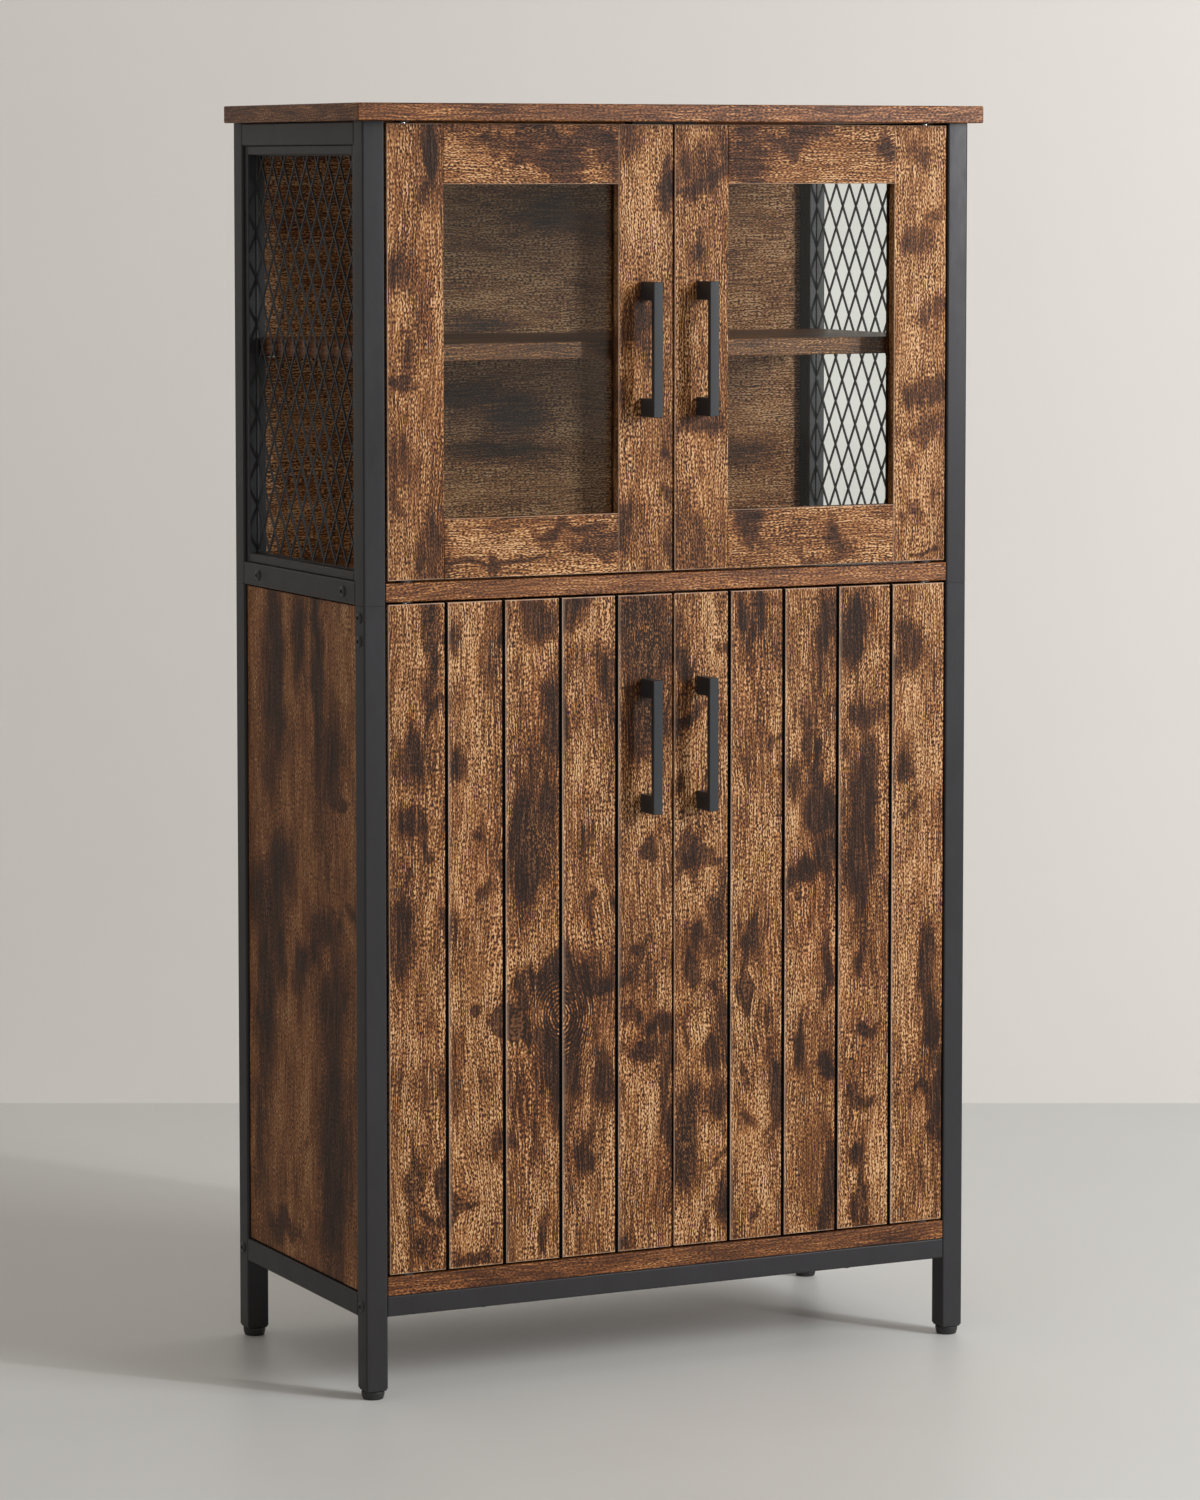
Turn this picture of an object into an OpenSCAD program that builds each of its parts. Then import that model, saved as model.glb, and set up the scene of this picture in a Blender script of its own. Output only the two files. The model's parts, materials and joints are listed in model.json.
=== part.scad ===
/* [Overall size] */
// Width over the top board
cab_w = 600; // [560:5:700]
// Depth of the top board
cab_d = 300; // [280:5:360]
// Overall height
cab_h = 1100; // [1060:5:1160]

/* [Top board] */
// Thickness of the top board
top_t = 15; // [14:1:18]
// How far the top board stands past the frame at each side
side_over = 9; // [4:1:15]
// How far the top board stands past the frame at the front
front_over = 12; // [4:1:15]

/* [Steel frame] */
// Outer width of the square tube
tube = 20; // [18:1:24]
// Wall thickness of the tube
wall = 1.2; // [1:0.1:1.6]
// Height at which the upper side frame stands on the lower one
seam_z = 678; // [640:1:700]
// Height of the underside of the lower side rails
low_rail_z = 70; // [60:1:80]
// Height of the front and rear base rails, which carry the bottom board
base_rail_h = 18; // [16:1:20]
// Height of the legs' ends over the floor
leg_z = 9; // [9:1:12]

/* [Boards] */
// Thickness of the middle and bottom boards
board_t = 16; // [16:1:18]
// Thickness of the two shelves
shelf_t = 15; // [12:1:18]
// Thickness of the back panels
back_t = 12; // [9:1:14]
// Thickness of the lower side panels
side_t = 15; // [12:1:16]
// How far the side panels and the mesh frames lie behind the face of the tubes
side_in = 2.5; // [1:0.5:3]
// Height of the upper shelf's top face
upper_shelf_z = 897; // [840:1:940]
// Height of the lower shelf's underside
lower_shelf_z = 385; // [353:32:417]

/* [Doors] */
// Thickness of the doors
door_t = 15; // [14:1:16]
// Gap around each door
gap = 2; // [2:0.5:3]
// Width of the stiles of the glazed doors
stile_w = 52; // [46:1:60]
// Height of the rails of the glazed doors
rail_h = 51; // [46:1:60]
// Thickness of the glass
glass_t = 3; // [2:0.5:4]
// Number of planks that the grooves divide a lower door into
planks = 5; // [3:1:6]
// Width of a groove
groove_w = 3; // [2:0.5:4]
// Distance of the pivot from the door's hinge edge
pivot_in = 18; // [17:0.5:18]

/* [Handles] */
// Length of a handle
handle_l = 116; // [96:2:160]
// Width of a handle
handle_w = 9; // [8:1:12]
// How far a handle stands out of the door
handle_out = 25; // [22:1:30]
// Thickness of a handle's bar
bar_t = 5; // [4:0.5:6]
// Height of a handle's foot along the door
post_h = 16; // [12:1:18]
// Height of the middle of the upper handles
upper_handle_z = 890.5; // [850:0.5:930]
// Height of the middle of the lower handles
lower_handle_z = 548.5; // [300:0.5:600]

/* [Mesh] */
// Width of a diamond, along the depth of the cabinet
cell_y = 25; // [20:1:30]
// Height of a diamond
cell_z = 40; // [30:1:50]
// Width of a strand
strand = 1.6; // [1.2:0.1:2.4]
// Thickness of the mesh sheet
mesh_t = 1.5; // [1:0.1:2]
// Width of the bars of the mesh frame
bar_w = 8; // [6:1:10]

/* [Levelling feet] */
// Radius of the pad
pad_r = 10; // [9:0.5:14]
// Height of the pad
pad_h = 7.2; // [6:0.1:7.2]
// Radius of the stem
stem_r = 4; // [3:0.5:5]

/* [Hidden] */
$fn = 48;
// the frame: X runs from the middle, Y from the front of the posts, Z from the floor
fw = cab_w - 2*side_over;
fd = cab_d - front_over;
xo = fw/2;                       // outer face of the tubes
xi = xo - tube;                  // inner face of the tubes
yr = fd - tube;                  // front face of the rear posts
top_z = cab_h - top_t;           // underside of the top board
mid_z = seam_z + 3;              // underside of the middle board
mid_top = mid_z + board_t;
base_z = low_rail_z + 1 + base_rail_h;   // underside of the bottom board
base_top = base_z + board_t;
y_shift = -(fd - handle_out)/2;  // puts the origin below the middle of the whole

door_w = (2*xi - 3*gap)/2;
ud_z0 = mid_top + gap;
ud_z1 = top_z - gap;
ld_z0 = base_top + gap;
ld_z1 = mid_z - gap;
hinge_x = xi - gap;              // hinge edge of a door
pivot_x = hinge_x - pivot_in;
pivot_y = door_t/2;
handle_x = gap/2 + stile_w/2;

back_y = fd - 1.5 - back_t;      // front face of the back panels
mesh_x = xo - side_in - 8;       // middle plane of the mesh
panel_x = xo - side_in;          // outer face of the side panels
panel_in = panel_x - side_t;     // inner face of the side panels
shelf_y0 = tube + bar_w + 1;
lap = 6;                         // how far the glass lies over the rebate
glass_y = door_t - glass_t - 2;  // front face of the glass

// the tubes, bars and tabs of a frame meet with this much of a seam
seam = 0.05;

bolt_r = 3;
sleeve_bolt_r = 2.5;
screw_r = 1.75;
pilot_r = 1.8;
pin_r = 3;
bush_r = 5;
base_bolt_x = 178;
mid_bolt_y = [45, fd - 53];
sleeve_bolt_z = [seam_z - 10, seam_z - 30];
rail_z = low_rail_z + 1 + base_rail_h/2;
top_tab_y = [62, fd - 62];
side_tab_z = [130, seam_z - 38];
up_tab_z = [mid_top + 25, (mid_top + top_z)/2, top_z - 28];
low_tab_z = [base_top + 25, (base_top + mid_z)/2, mid_z - 33];
pin_rows = [-32, 0, 32];
pin_y = [60, fd - 48];
catch_x = 13;
strike_z = 8;                    // below the door's top edge
// the diamonds start at another place on each side
mesh_start = [[9.5, 908.6], [10.7, 930.8]];

module place() { translate([0, y_shift, 0]) children(); }
module right() { mirror([1, 0, 0]) children(); }
module sides() { children(); right() children(); }
module box(x0, x1, y0, y1, z0, z1) { translate([x0, y0, z0]) cube([x1 - x0, y1 - y0, z1 - z0]); }

// square tube pieces, open inside
module tube_z(x, y, z0, z1) {
  difference() {
    box(x, x + tube, y, y + tube, z0, z1);
    box(x + wall, x + tube - wall, y + wall, y + tube - wall, z0 - 1, z1 + 1);
  }
}
module tube_y(x, y0, y1, z) {
  difference() {
    box(x, x + tube, y0, y1, z, z + tube);
    box(x + wall, x + tube - wall, y0 - 1, y1 + 1, z + wall, z + tube - wall);
  }
}

// bolt along +Z with its button head below z = 0
module bolt(l, r) {
  difference() {
    rotate_extrude() polygon([[0, l], [r, l], [r, 0], [4.7, 0], [4.7, -0.7], [3.9, -1.6], [2.6, -2.1], [0, -2.1]]);
    translate([0, 0, -3]) cylinder(h = 2.2, r = 1.8, $fn = 6);
  }
}
// bolt with a thin flat head inside the tube's wall
module flat_bolt(l, r) {
  difference() {
    rotate_extrude() polygon([[0, l], [r, l], [r, wall], [r + 1.2, 0], [0, 0]]);
    translate([0, 0, -1]) cylinder(h = 1.8, r = 1.4, $fn = 6);
  }
}
// wood screw along +Z with its pan head below z = 0
module screw(l) {
  difference() {
    rotate_extrude() polygon([[0, l], [0.6, l], [screw_r, l - 3], [screw_r, 0], [3.4, 0], [3.4, -0.8], [2.4, -1.6], [0, -1.7]]);
    for (a = [0, 90]) rotate([0, 0, a]) translate([-1.7, -0.35, -2]) cube([3.4, 0.7, 1.2]);
  }
}
// wood screw whose countersunk head ends flush with z = 0
module csk_screw(l) {
  difference() {
    rotate_extrude() polygon([[0, l], [0.6, l], [screw_r, l - 3], [screw_r, 1.5], [3.2, 0], [0, 0]]);
    for (a = [0, 90]) rotate([0, 0, a]) translate([-1.5, -0.35, -0.5]) cube([3, 0.7, 1.3]);
  }
}
module pilot(l, r = pilot_r) { translate([0, 0, -1]) cylinder(h = l + 1, r = r); }
module csk_hole() { translate([0, 0, -1]) cylinder(h = 4, r = pilot_r + 0.1); cylinder(h = 1.6, r1 = 3.3, r2 = 1.7); }

// places along which the fasteners and their holes run, on the left half
module at_rail_bolts() { for (y = [tube/2, fd - tube/2]) translate([-xo, y, rail_z]) rotate([0, 90, 0]) children(); }
module at_mid_bolts() { for (y = mid_bolt_y) translate([-xo, y, seam_z + tube/2]) rotate([0, 90, 0]) children(); }
module at_front_sleeve_bolts() { for (z = sleeve_bolt_z) translate([-xo, tube/2, z]) rotate([0, 90, 0]) children(); }
module at_rear_sleeve_bolts() { for (z = sleeve_bolt_z) translate([-xo + tube/2, fd, z]) rotate([90, 0, 0]) children(); }
module at_base_bolts() { for (y = [tube/2, fd - tube/2]) translate([-base_bolt_x, y, low_rail_z + 1]) children(); }
module at_top_screws() { for (y = top_tab_y) translate([-xi + 8, y, top_z - 1.5]) children(); }
module at_back_screws(zs) { for (z = zs) translate([-xi + 8, fd, z]) rotate([90, 0, 0]) children(); }
module at_side_screws() { for (z = side_tab_z, y = [tube + 9, yr - 9]) translate([-panel_in + 1.5, y, z]) rotate([0, -90, 0]) children(); }
module at_shelf_screws() { for (y = [shelf_y0 + 5, yr - bar_w - 9]) translate([-mesh_x + 10, y, upper_shelf_z - shelf_t - 1.5]) children(); }
module at_catch_screws(z) { translate([-25, 24, z - 16]) children(); }

// ---------- boards ----------
module bush_holes(z, up, h) {
  for (s = [-1, 1]) translate([s*pivot_x, pivot_y, up ? z - 1 : z - h]) cylinder(h = h + 1, r = bush_r);
}
module top_panel() {
  color([0.42, 0.27, 0.17]) place() difference() {
    box(-cab_w/2, cab_w/2, -front_over, fd, top_z, cab_h);
    bush_holes(top_z, true, 9);
    sides() at_top_screws() translate([0, 0, 1.5]) pilot(10.5);
    sides() at_catch_screws(top_z) translate([0, 0, 16]) pilot(9.5);
  }
}
module middle_panel() {
  color([0.42, 0.27, 0.17]) place() difference() {
    box(-xi, xi, 0, fd, mid_z, mid_top);
    bush_holes(mid_z, true, 7);
    bush_holes(mid_top, false, 7);
    sides() at_mid_bolts() translate([0, 0, tube]) pilot(17, bolt_r + 0.05);
    sides() at_catch_screws(mid_z) translate([0, 0, 16]) pilot(9.5);
  }
}
module bottom_panel() {
  color([0.42, 0.27, 0.17]) place() difference() {
    box(-xi, xi, 0, fd, base_z, base_top);
    bush_holes(base_top, false, 8);
    sides() at_base_bolts() translate([0, 0, base_rail_h]) pilot(11, sleeve_bolt_r + 0.05);
  }
}
module upper_shelf() {
  color([0.42, 0.27, 0.17]) place() difference() {
    box(-mesh_x + 2, mesh_x - 2, shelf_y0, yr - bar_w - 4, upper_shelf_z - shelf_t, upper_shelf_z);
    sides() at_shelf_screws() translate([0, 0, 1.5]) pilot(10.5);
  }
}
module lower_shelf() {
  color([0.42, 0.27, 0.17]) place()
    box(-xi, xi, 32, back_y - 2.5, lower_shelf_z, lower_shelf_z + shelf_t);
}
module back_panel(z0, z1, zs) {
  color([0.34, 0.22, 0.14]) place() difference() {
    box(-xi + 0.5, xi - 0.5, back_y, back_y + back_t, z0 + 0.5, z1 - 0.5);
    sides() at_back_screws(zs) translate([0, 0, 1.5]) pilot(9);
  }
}
module upper_back_panel() { back_panel(mid_top, top_z, up_tab_z); }
module lower_back_panel() { back_panel(base_top, mid_z, low_tab_z); }
module side_panel() {
  color([0.36, 0.24, 0.16]) place() difference() {
    box(-panel_x, -panel_in, tube + 1.5, yr - 1.5, low_rail_z + tube + 1, seam_z - 1);
    at_side_screws() translate([0, 0, 1.5]) pilot(11);
    for (y = pin_y, dz = pin_rows) translate([-panel_in, y, lower_shelf_z - 2.5 + dz]) rotate([0, -90, 0]) pilot(9, 2.55);
  }
}
module side_panel_left() { side_panel(); }
module side_panel_right() { right() side_panel(); }

// ---------- steel frame ----------
module lower_frame() {
  color([0.22, 0.22, 0.23]) place() {
    difference() {
      tube_z(-xo, 0, leg_z, seam_z);
      at_rail_bolts() translate([0, 0, -1]) cylinder(h = tube + 2, r = bolt_r + 0.1);
      at_front_sleeve_bolts() translate([0, 0, -1]) cylinder(h = 4, r = sleeve_bolt_r + 0.1);
    }
    difference() {
      tube_z(-xo, yr, leg_z, seam_z);
      at_rail_bolts() translate([0, 0, -1]) cylinder(h = tube + 2, r = bolt_r + 0.1);
      at_rear_sleeve_bolts() { translate([0, 0, -1]) cylinder(h = 4, r = sleeve_bolt_r + 0.1); cylinder(h = wall + 0.1, r1 = sleeve_bolt_r + 1.3, r2 = sleeve_bolt_r); }
    }
    tube_y(-xo, tube + seam, yr - seam, low_rail_z);
    // tabs that hold the side panel
    for (z = side_tab_z) {
      difference() { box(-panel_in, -panel_in + 1.5, tube + seam, tube + 18, z - 10, z + 10); at_side_screws() translate([0, 0, -1]) cylinder(h = 4, r = pilot_r + 0.1); }
      difference() { box(-panel_in, -panel_in + 1.5, yr - 18, yr - seam, z - 10, z + 10); at_side_screws() translate([0, 0, -1]) cylinder(h = 4, r = pilot_r + 0.1); }
    }
    // tabs that hold the lower back panel
    for (z = low_tab_z) difference() {
      box(-xi + seam, -xi + 16, fd - 1.5, fd, z - 9, z + 9);
      at_back_screws([z]) csk_hole();
    }
  }
}
module lower_frame_left() { lower_frame(); }
module lower_frame_right() { right() lower_frame(); }
module upper_frame() {
  color([0.22, 0.22, 0.23]) place() {
    tube_z(-xo, 0, seam_z, top_z);
    tube_z(-xo, yr, seam_z, top_z);
    tube_y(-xo, tube + seam, yr - seam, top_z - tube);
    difference() {
      tube_y(-xo, tube + seam, yr - seam, seam_z);
      at_mid_bolts() translate([0, 0, -1]) cylinder(h = tube + 2, r = bolt_r + 0.1);
    }
    // tabs that hold the top board
    for (y = top_tab_y) difference() {
      box(-xi + seam, -xi + 16, y - 9, y + 9, top_z - 1.5, top_z);
      at_top_screws() translate([0, 0, -1]) cylinder(h = 4, r = pilot_r + 0.1);
    }
    // tabs that hold the upper back panel
    for (z = up_tab_z) difference() {
      box(-xi + seam, -xi + 16, fd - 1.5, fd, z - 9, z + 9);
      at_back_screws([z]) csk_hole();
    }
  }
}
module upper_frame_left() { upper_frame(); }
module upper_frame_right() { right() upper_frame(); }
module base_rail(y) {
  color([0.22, 0.22, 0.23]) place() difference() {
    box(-xi, xi, y, y + tube, low_rail_z + 1, base_z);
    box(-xi + 3, xi - 3, y + wall, y + tube - wall, low_rail_z + 1 + wall, base_z - wall);
    sides() translate([0, 0, 0]) at_rail_bolts() translate([0, 0, tube - 1]) cylinder(h = 5, r = bolt_r + 0.05);
    sides() at_base_bolts() translate([0, 0, -1]) cylinder(h = base_rail_h + 2, r = sleeve_bolt_r + 0.1);
  }
}
module front_rail() { base_rail(0); }
module rear_rail() { base_rail(yr); }

// inner bars around the mesh: 16 mm deep, thin walled
module mesh_bar(y0, y1, z0, z1, upright) {
  x0 = -mesh_x - 8;
  difference() {
    box(x0, x0 + 16, y0, y1, z0, z1);
    if (upright) box(x0 + 1, x0 + 15, y0 + 1, y1 - 1, z0 - 1, z1 + 1);
    else box(x0 + 1, x0 + 15, y0 - 1, y1 + 1, z0 + 1, z1 - 1);
  }
}
module mesh_frame() {
  z0 = seam_z + tube;
  z1 = top_z - tube;
  color([0.2, 0.2, 0.21]) place() {
    mesh_bar(tube, tube + bar_w, z0, z1, true);
    mesh_bar(yr - bar_w, yr, z0, z1, true);
    mesh_bar(tube + bar_w + seam, yr - bar_w - seam, z0, z0 + bar_w, false);
    mesh_bar(tube + bar_w + seam, yr - bar_w - seam, z1 - bar_w, z1, false);
    // tabs under the upper shelf
    difference() {
      box(-mesh_x + 2, -mesh_x + 18, tube + bar_w + seam, tube + bar_w + 14, upper_shelf_z - shelf_t - 1.5, upper_shelf_z - shelf_t);
      at_shelf_screws() translate([0, 0, -1]) cylinder(h = 4, r = pilot_r + 0.1);
    }
    difference() {
      box(-mesh_x + 2, -mesh_x + 18, yr - bar_w - 14, yr - bar_w - seam, upper_shelf_z - shelf_t - 1.5, upper_shelf_z - shelf_t);
      at_shelf_screws() translate([0, 0, -1]) cylinder(h = 4, r = pilot_r + 0.1);
    }
  }
}
module mesh_frame_left() { mesh_frame(); }
module mesh_frame_right() { right() mesh_frame(); }

// a convex outline cut to the side of a line where a*x + b*y <= c
function cut(p, a, b, c) = len(p) == 0 ? [] : [for (i = [0:len(p) - 1])
  let (q = p[i], r = p[(i + 1) % len(p)], dq = a*q[0] + b*q[1] - c, dr = a*r[0] + b*r[1] - c)
  each concat(dq <= 0 ? [q] : [], dq*dr < 0 ? [q + (r - q)*dq/(dq - dr)] : [])];
function cut_to(p, x0, x1, y0, y1) = cut(cut(cut(cut(p, 1, 0, x1), -1, 0, -x0), 0, 1, y1), 0, -1, -y0);
function span(p, k) = len(p) < 3 ? 0 : max([for (q = p) q[k]]) - min([for (q = p) q[k]]);
function sum_to(n, v, i = 0) = i >= n ? 0 : len(v[i]) + sum_to(n, v, i + 1);
// the diamonds between the strands, cut to the opening
function diamonds(y0, y1, z0, z1, start) =
  let (d = cell_y/2*cell_z/2/sqrt(cell_y*cell_y/4 + cell_z*cell_z/4), k = (d - strand/2)/d, hy = cell_y/2*k, hz = cell_z/2*k)
  [for (r = [-20:20], c = [-2:14])
    let (cy = start[0] + cell_y*(c + (abs(r) % 2 == 0 ? 0.5 : 0)), cz = start[1] + r*cell_z/2,
         p = cut_to([[cy + hy, cz], [cy, cz + hz], [cy - hy, cz], [cy, cz - hz]], y0, y1, z0, z1))
    if (span(p, 0) > 1.5 && span(p, 1) > 1.5) p];
module mesh_sheet(start) {
  y0 = tube + bar_w;
  y1 = yr - bar_w;
  z0 = seam_z + tube + bar_w;
  z1 = top_z - tube - bar_w;
  holes = diamonds(y0 + 1.2, y1 - 1.2, z0 + 1.2, z1 - 1.2, start);
  rim = [[y0, z0], [y1, z0], [y1, z1], [y0, z1]];
  points = concat(rim, [for (h = holes) each h]);
  paths = concat([[0, 1, 2, 3]], [for (i = [0:len(holes) - 1]) let (n = 4 + sum_to(i, holes)) [for (k = [0:len(holes[i]) - 1]) n + k]]);
  color([0.15, 0.15, 0.16]) place() translate([-mesh_x - mesh_t/2, 0, 0]) rotate([90, 0, 90])
    linear_extrude(height = mesh_t) polygon(points = points, paths = paths);
}
module mesh_left() { mesh_sheet(mesh_start[0]); }
module mesh_right() { right() mesh_sheet(mesh_start[1]); }

// ---------- connectors and fasteners ----------
module post_sleeves() {
  w = tube - 2*wall - 0.2;
  color([0.6, 0.6, 0.62]) place() sides() for (y = [0, yr]) difference() {
    box(-xo + tube/2 - w/2, -xo + tube/2 + w/2, y + tube/2 - w/2, y + tube/2 + w/2, seam_z - 40, seam_z + 40);
    box(-xo + tube/2 - w/2 + 1.5, -xo + tube/2 + w/2 - 1.5, y + tube/2 - w/2 + 1.5, y + tube/2 + w/2 - 1.5, seam_z - 41, seam_z + 41);
    at_front_sleeve_bolts() cylinder(h = 5, r = sleeve_bolt_r + 0.05);
    at_rear_sleeve_bolts() cylinder(h = 5, r = sleeve_bolt_r + 0.05);
  }
}
module frame_bolts() {
  color([0.16, 0.16, 0.17]) place() sides() {
    at_rail_bolts() bolt(tube + 12, bolt_r);
    at_mid_bolts() bolt(tube + 16, bolt_r);
    at_front_sleeve_bolts() bolt(8, sleeve_bolt_r);
    at_rear_sleeve_bolts() flat_bolt(8, sleeve_bolt_r);
    at_base_bolts() bolt(base_rail_h + 10, sleeve_bolt_r);
  }
}
module wood_screws() {
  color([0.65, 0.65, 0.67]) place() sides() {
    at_top_screws() screw(11);
    at_back_screws(up_tab_z) csk_screw(10);
    at_back_screws(low_tab_z) csk_screw(10);
    at_side_screws() screw(12);
    at_shelf_screws() screw(11);
    at_catch_screws(top_z) screw(25);
    at_catch_screws(mid_z) screw(25);
  }
}
module shelf_pins() {
  color([0.7, 0.7, 0.72]) place() sides() for (y = pin_y)
    translate([-panel_in, y, lower_shelf_z - 2.52]) rotate([0, 90, 0]) {
      rotate_extrude() polygon([[0, -8.5], [2.5, -8.5], [2.5, 0], [4.5, 0], [4.5, 1.5], [2.5, 1.5], [2.5, 11.5], [0, 11.5]]);
    }
}
module leg_plugs() {
  w = tube - 2*wall - 0.2;
  color([0.1, 0.1, 0.1]) place() sides() for (y = [0, yr]) translate([-xo + tube/2, y + tube/2, 0]) difference() {
    union() {
      translate([-w/2, -w/2, leg_z]) cube([w, w, 16]);
      translate([-tube/2 + 0.8, -tube/2 + 0.8, leg_z - 1.6]) cube([tube - 1.6, tube - 1.6, 1.6]);
    }
    translate([0, 0, leg_z - 3]) cylinder(h = 22, r = stem_r + 0.05);
  }
}
module foot(x, y) {
  color([0.08, 0.08, 0.08]) place() translate([x, y, 0]) rotate_extrude()
    polygon([[0, 0], [pad_r - 2, 0], [pad_r - 1.2, 0.6], [pad_r, pad_h - 2.2], [pad_r, pad_h - 1], [pad_r - 0.6, pad_h], [stem_r, pad_h], [stem_r, 31], [stem_r - 1, 32], [0, 32]]);
}
module foot_front_left() { foot(-xo + tube/2, tube/2); }
module foot_front_right() { foot(xo - tube/2, tube/2); }
module foot_rear_left() { foot(-xo + tube/2, fd - tube/2); }
module foot_rear_right() { foot(xo - tube/2, fd - tube/2); }

// bearings of the door pivots: a flange under or over the door and a barrel in the board
module bush(barrel, flange) {
  difference() {
    rotate_extrude() polygon([[0, -barrel], [bush_r, -barrel], [bush_r, 0], [7, 0], [7, flange], [0, flange]]);
    translate([0, 0, -barrel + 1]) cylinder(h = barrel + flange + 1, r = pin_r + 0.05);
  }
}
module pivot_bushes() {
  color([0.12, 0.12, 0.12]) place() for (s = [-1, 1]) translate([s*pivot_x, pivot_y, 0]) {
    translate([0, 0, top_z]) mirror([0, 0, 1]) bush(9, 1);
    translate([0, 0, mid_top]) bush(7, gap - 0.3);
    translate([0, 0, mid_z]) mirror([0, 0, 1]) bush(7, 1);
    translate([0, 0, base_top]) bush(8, gap - 0.3);
  }
}
module magnetic_catches() {
  color([0.14, 0.14, 0.14]) place() for (z = [top_z, mid_z]) {
    difference() {
      box(-31, 31, 17.5, 31, z - 16, z);
      for (s = [-1, 1]) {
        box(s*catch_x - 6.4, s*catch_x + 6.4, 16, 26.1, z - gap - strike_z - 5, z - gap - strike_z + 5);
        translate([s*25, 24, z - 17]) cylinder(h = 18, r = pilot_r + 0.1);
      }
    }
    for (s = [-1, 1]) box(s*catch_x - 6.3, s*catch_x + 6.3, door_t + 1.6, 26, z - gap - strike_z - 4.8, z - gap - strike_z + 4.8);
  }
}

// ---------- parts of the doors, for the left half ----------
module handle_holes(z) {
  for (s = [-1, 1]) translate([-handle_x, door_t + 1, z + s*(handle_l - post_h)/2]) rotate([90, 0, 0]) cylinder(h = door_t + 2, r = 2.2);
}
module strike_hole(z) { translate([-catch_x, door_t, z - strike_z]) rotate([90, 0, 0]) pilot(9); }
module pin_hole(z, up) { translate([-pivot_x, pivot_y, up ? z - 20 : z - 1]) cylinder(h = 21, r = pin_r + 0.02); }
module outer_stile() {
  color([0.55, 0.36, 0.2]) place() difference() {
    box(-hinge_x, -hinge_x + stile_w, 0, door_t, ud_z0, ud_z1);
    box(-hinge_x + stile_w - lap, -hinge_x + stile_w + 1, glass_y, door_t + 1, ud_z0 + rail_h - lap, ud_z1 - rail_h + lap);
    pin_hole(ud_z0, false);
    pin_hole(ud_z1, true);
  }
}
module inner_stile() {
  color([0.55, 0.36, 0.2]) place() difference() {
    box(-gap/2 - stile_w, -gap/2, 0, door_t, ud_z0, ud_z1);
    box(-gap/2 - stile_w - 1, -gap/2 - stile_w + lap, glass_y, door_t + 1, ud_z0 + rail_h - lap, ud_z1 - rail_h + lap);
    handle_holes(upper_handle_z);
    strike_hole(ud_z1);
  }
}
module door_rail(z0, up) {
  color([0.55, 0.36, 0.2]) place() difference() {
    box(-hinge_x + stile_w, -gap/2 - stile_w, 0, door_t, z0, z0 + rail_h);
    box(-hinge_x, 0, glass_y, door_t + 1, up ? z0 - 1 : z0 + rail_h - lap, up ? z0 + lap : z0 + rail_h + 1);
  }
}
module glass() {
  c = lap - 0.5;
  color([0.75, 0.82, 0.82, 0.3]) place()
    box(-hinge_x + stile_w - c, -gap/2 - stile_w + c, glass_y, glass_y + glass_t, ud_z0 + rail_h - c, ud_z1 - rail_h + c);
}
module glass_beads() {
  x0 = -hinge_x + stile_w - lap;
  x1 = -gap/2 - stile_w + lap;
  z0 = ud_z0 + rail_h - lap;
  z1 = ud_z1 - rail_h + lap;
  color([0.45, 0.3, 0.18]) place() {
    box(x0, x0 + lap, glass_y + glass_t, door_t, z0, z1);
    box(x1 - lap, x1, glass_y + glass_t, door_t, z0, z1);
    box(x0 + lap + seam, x1 - lap - seam, glass_y + glass_t, door_t, z0, z0 + lap);
    box(x0 + lap + seam, x1 - lap - seam, glass_y + glass_t, door_t, z1 - lap, z1);
  }
}
module plank_door() {
  p = door_w/planks;
  color([0.5, 0.33, 0.19]) place() difference() {
    box(-hinge_x, -gap/2, 0, door_t, ld_z0, ld_z1);
    for (i = [1:planks - 1]) translate([-hinge_x + i*p, 0, ld_z0 - 1]) linear_extrude(height = ld_z1 - ld_z0 + 2)
      polygon([[-groove_w/2, -1], [groove_w/2, -1], [groove_w/2, 0], [0.5, 2.6], [-0.5, 2.6], [-groove_w/2, 0]]);
    handle_holes(lower_handle_z);
    strike_hole(ld_z1);
    pin_hole(ld_z0, false);
    pin_hole(ld_z1, true);
  }
}
module handle(z) {
  color([0.07, 0.07, 0.07]) place() difference() {
    union() {
      box(-handle_x - handle_w/2, -handle_x + handle_w/2, -handle_out, -handle_out + bar_t, z - handle_l/2, z + handle_l/2);
      for (s = [-1, 1]) translate([0, 0, s*(handle_l - post_h)/2])
        box(-handle_x - handle_w/2, -handle_x + handle_w/2, -handle_out + bar_t - 0.5, 0, z - post_h/2, z + post_h/2);
    }
    for (s = [-1, 1]) translate([-handle_x, 1, z + s*(handle_l - post_h)/2]) rotate([90, 0, 0]) cylinder(h = 14, r = 2.05);
  }
}
module handle_screws(z) {
  color([0.65, 0.65, 0.67]) place() for (s = [-1, 1])
    translate([-handle_x, door_t, z + s*(handle_l - post_h)/2]) rotate([90, 0, 0]) difference() {
      rotate_extrude() polygon([[0, 27], [2, 27], [2, 0], [4, 0], [4, -1], [3, -2], [0, -2.2]]);
      for (a = [0, 90]) rotate([0, 0, a]) translate([-2, -0.4, -3]) cube([4, 0.8, 1.8]);
    }
}
module pivot_pins(z0, z1) {
  color([0.7, 0.7, 0.72]) place() {
    translate([-pivot_x, pivot_y, z0 - gap - 5.5]) cylinder(h = 25 + gap, r = pin_r);
    translate([-pivot_x, pivot_y, z1 - 19.5]) cylinder(h = 25 + gap, r = pin_r);
  }
}
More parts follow.
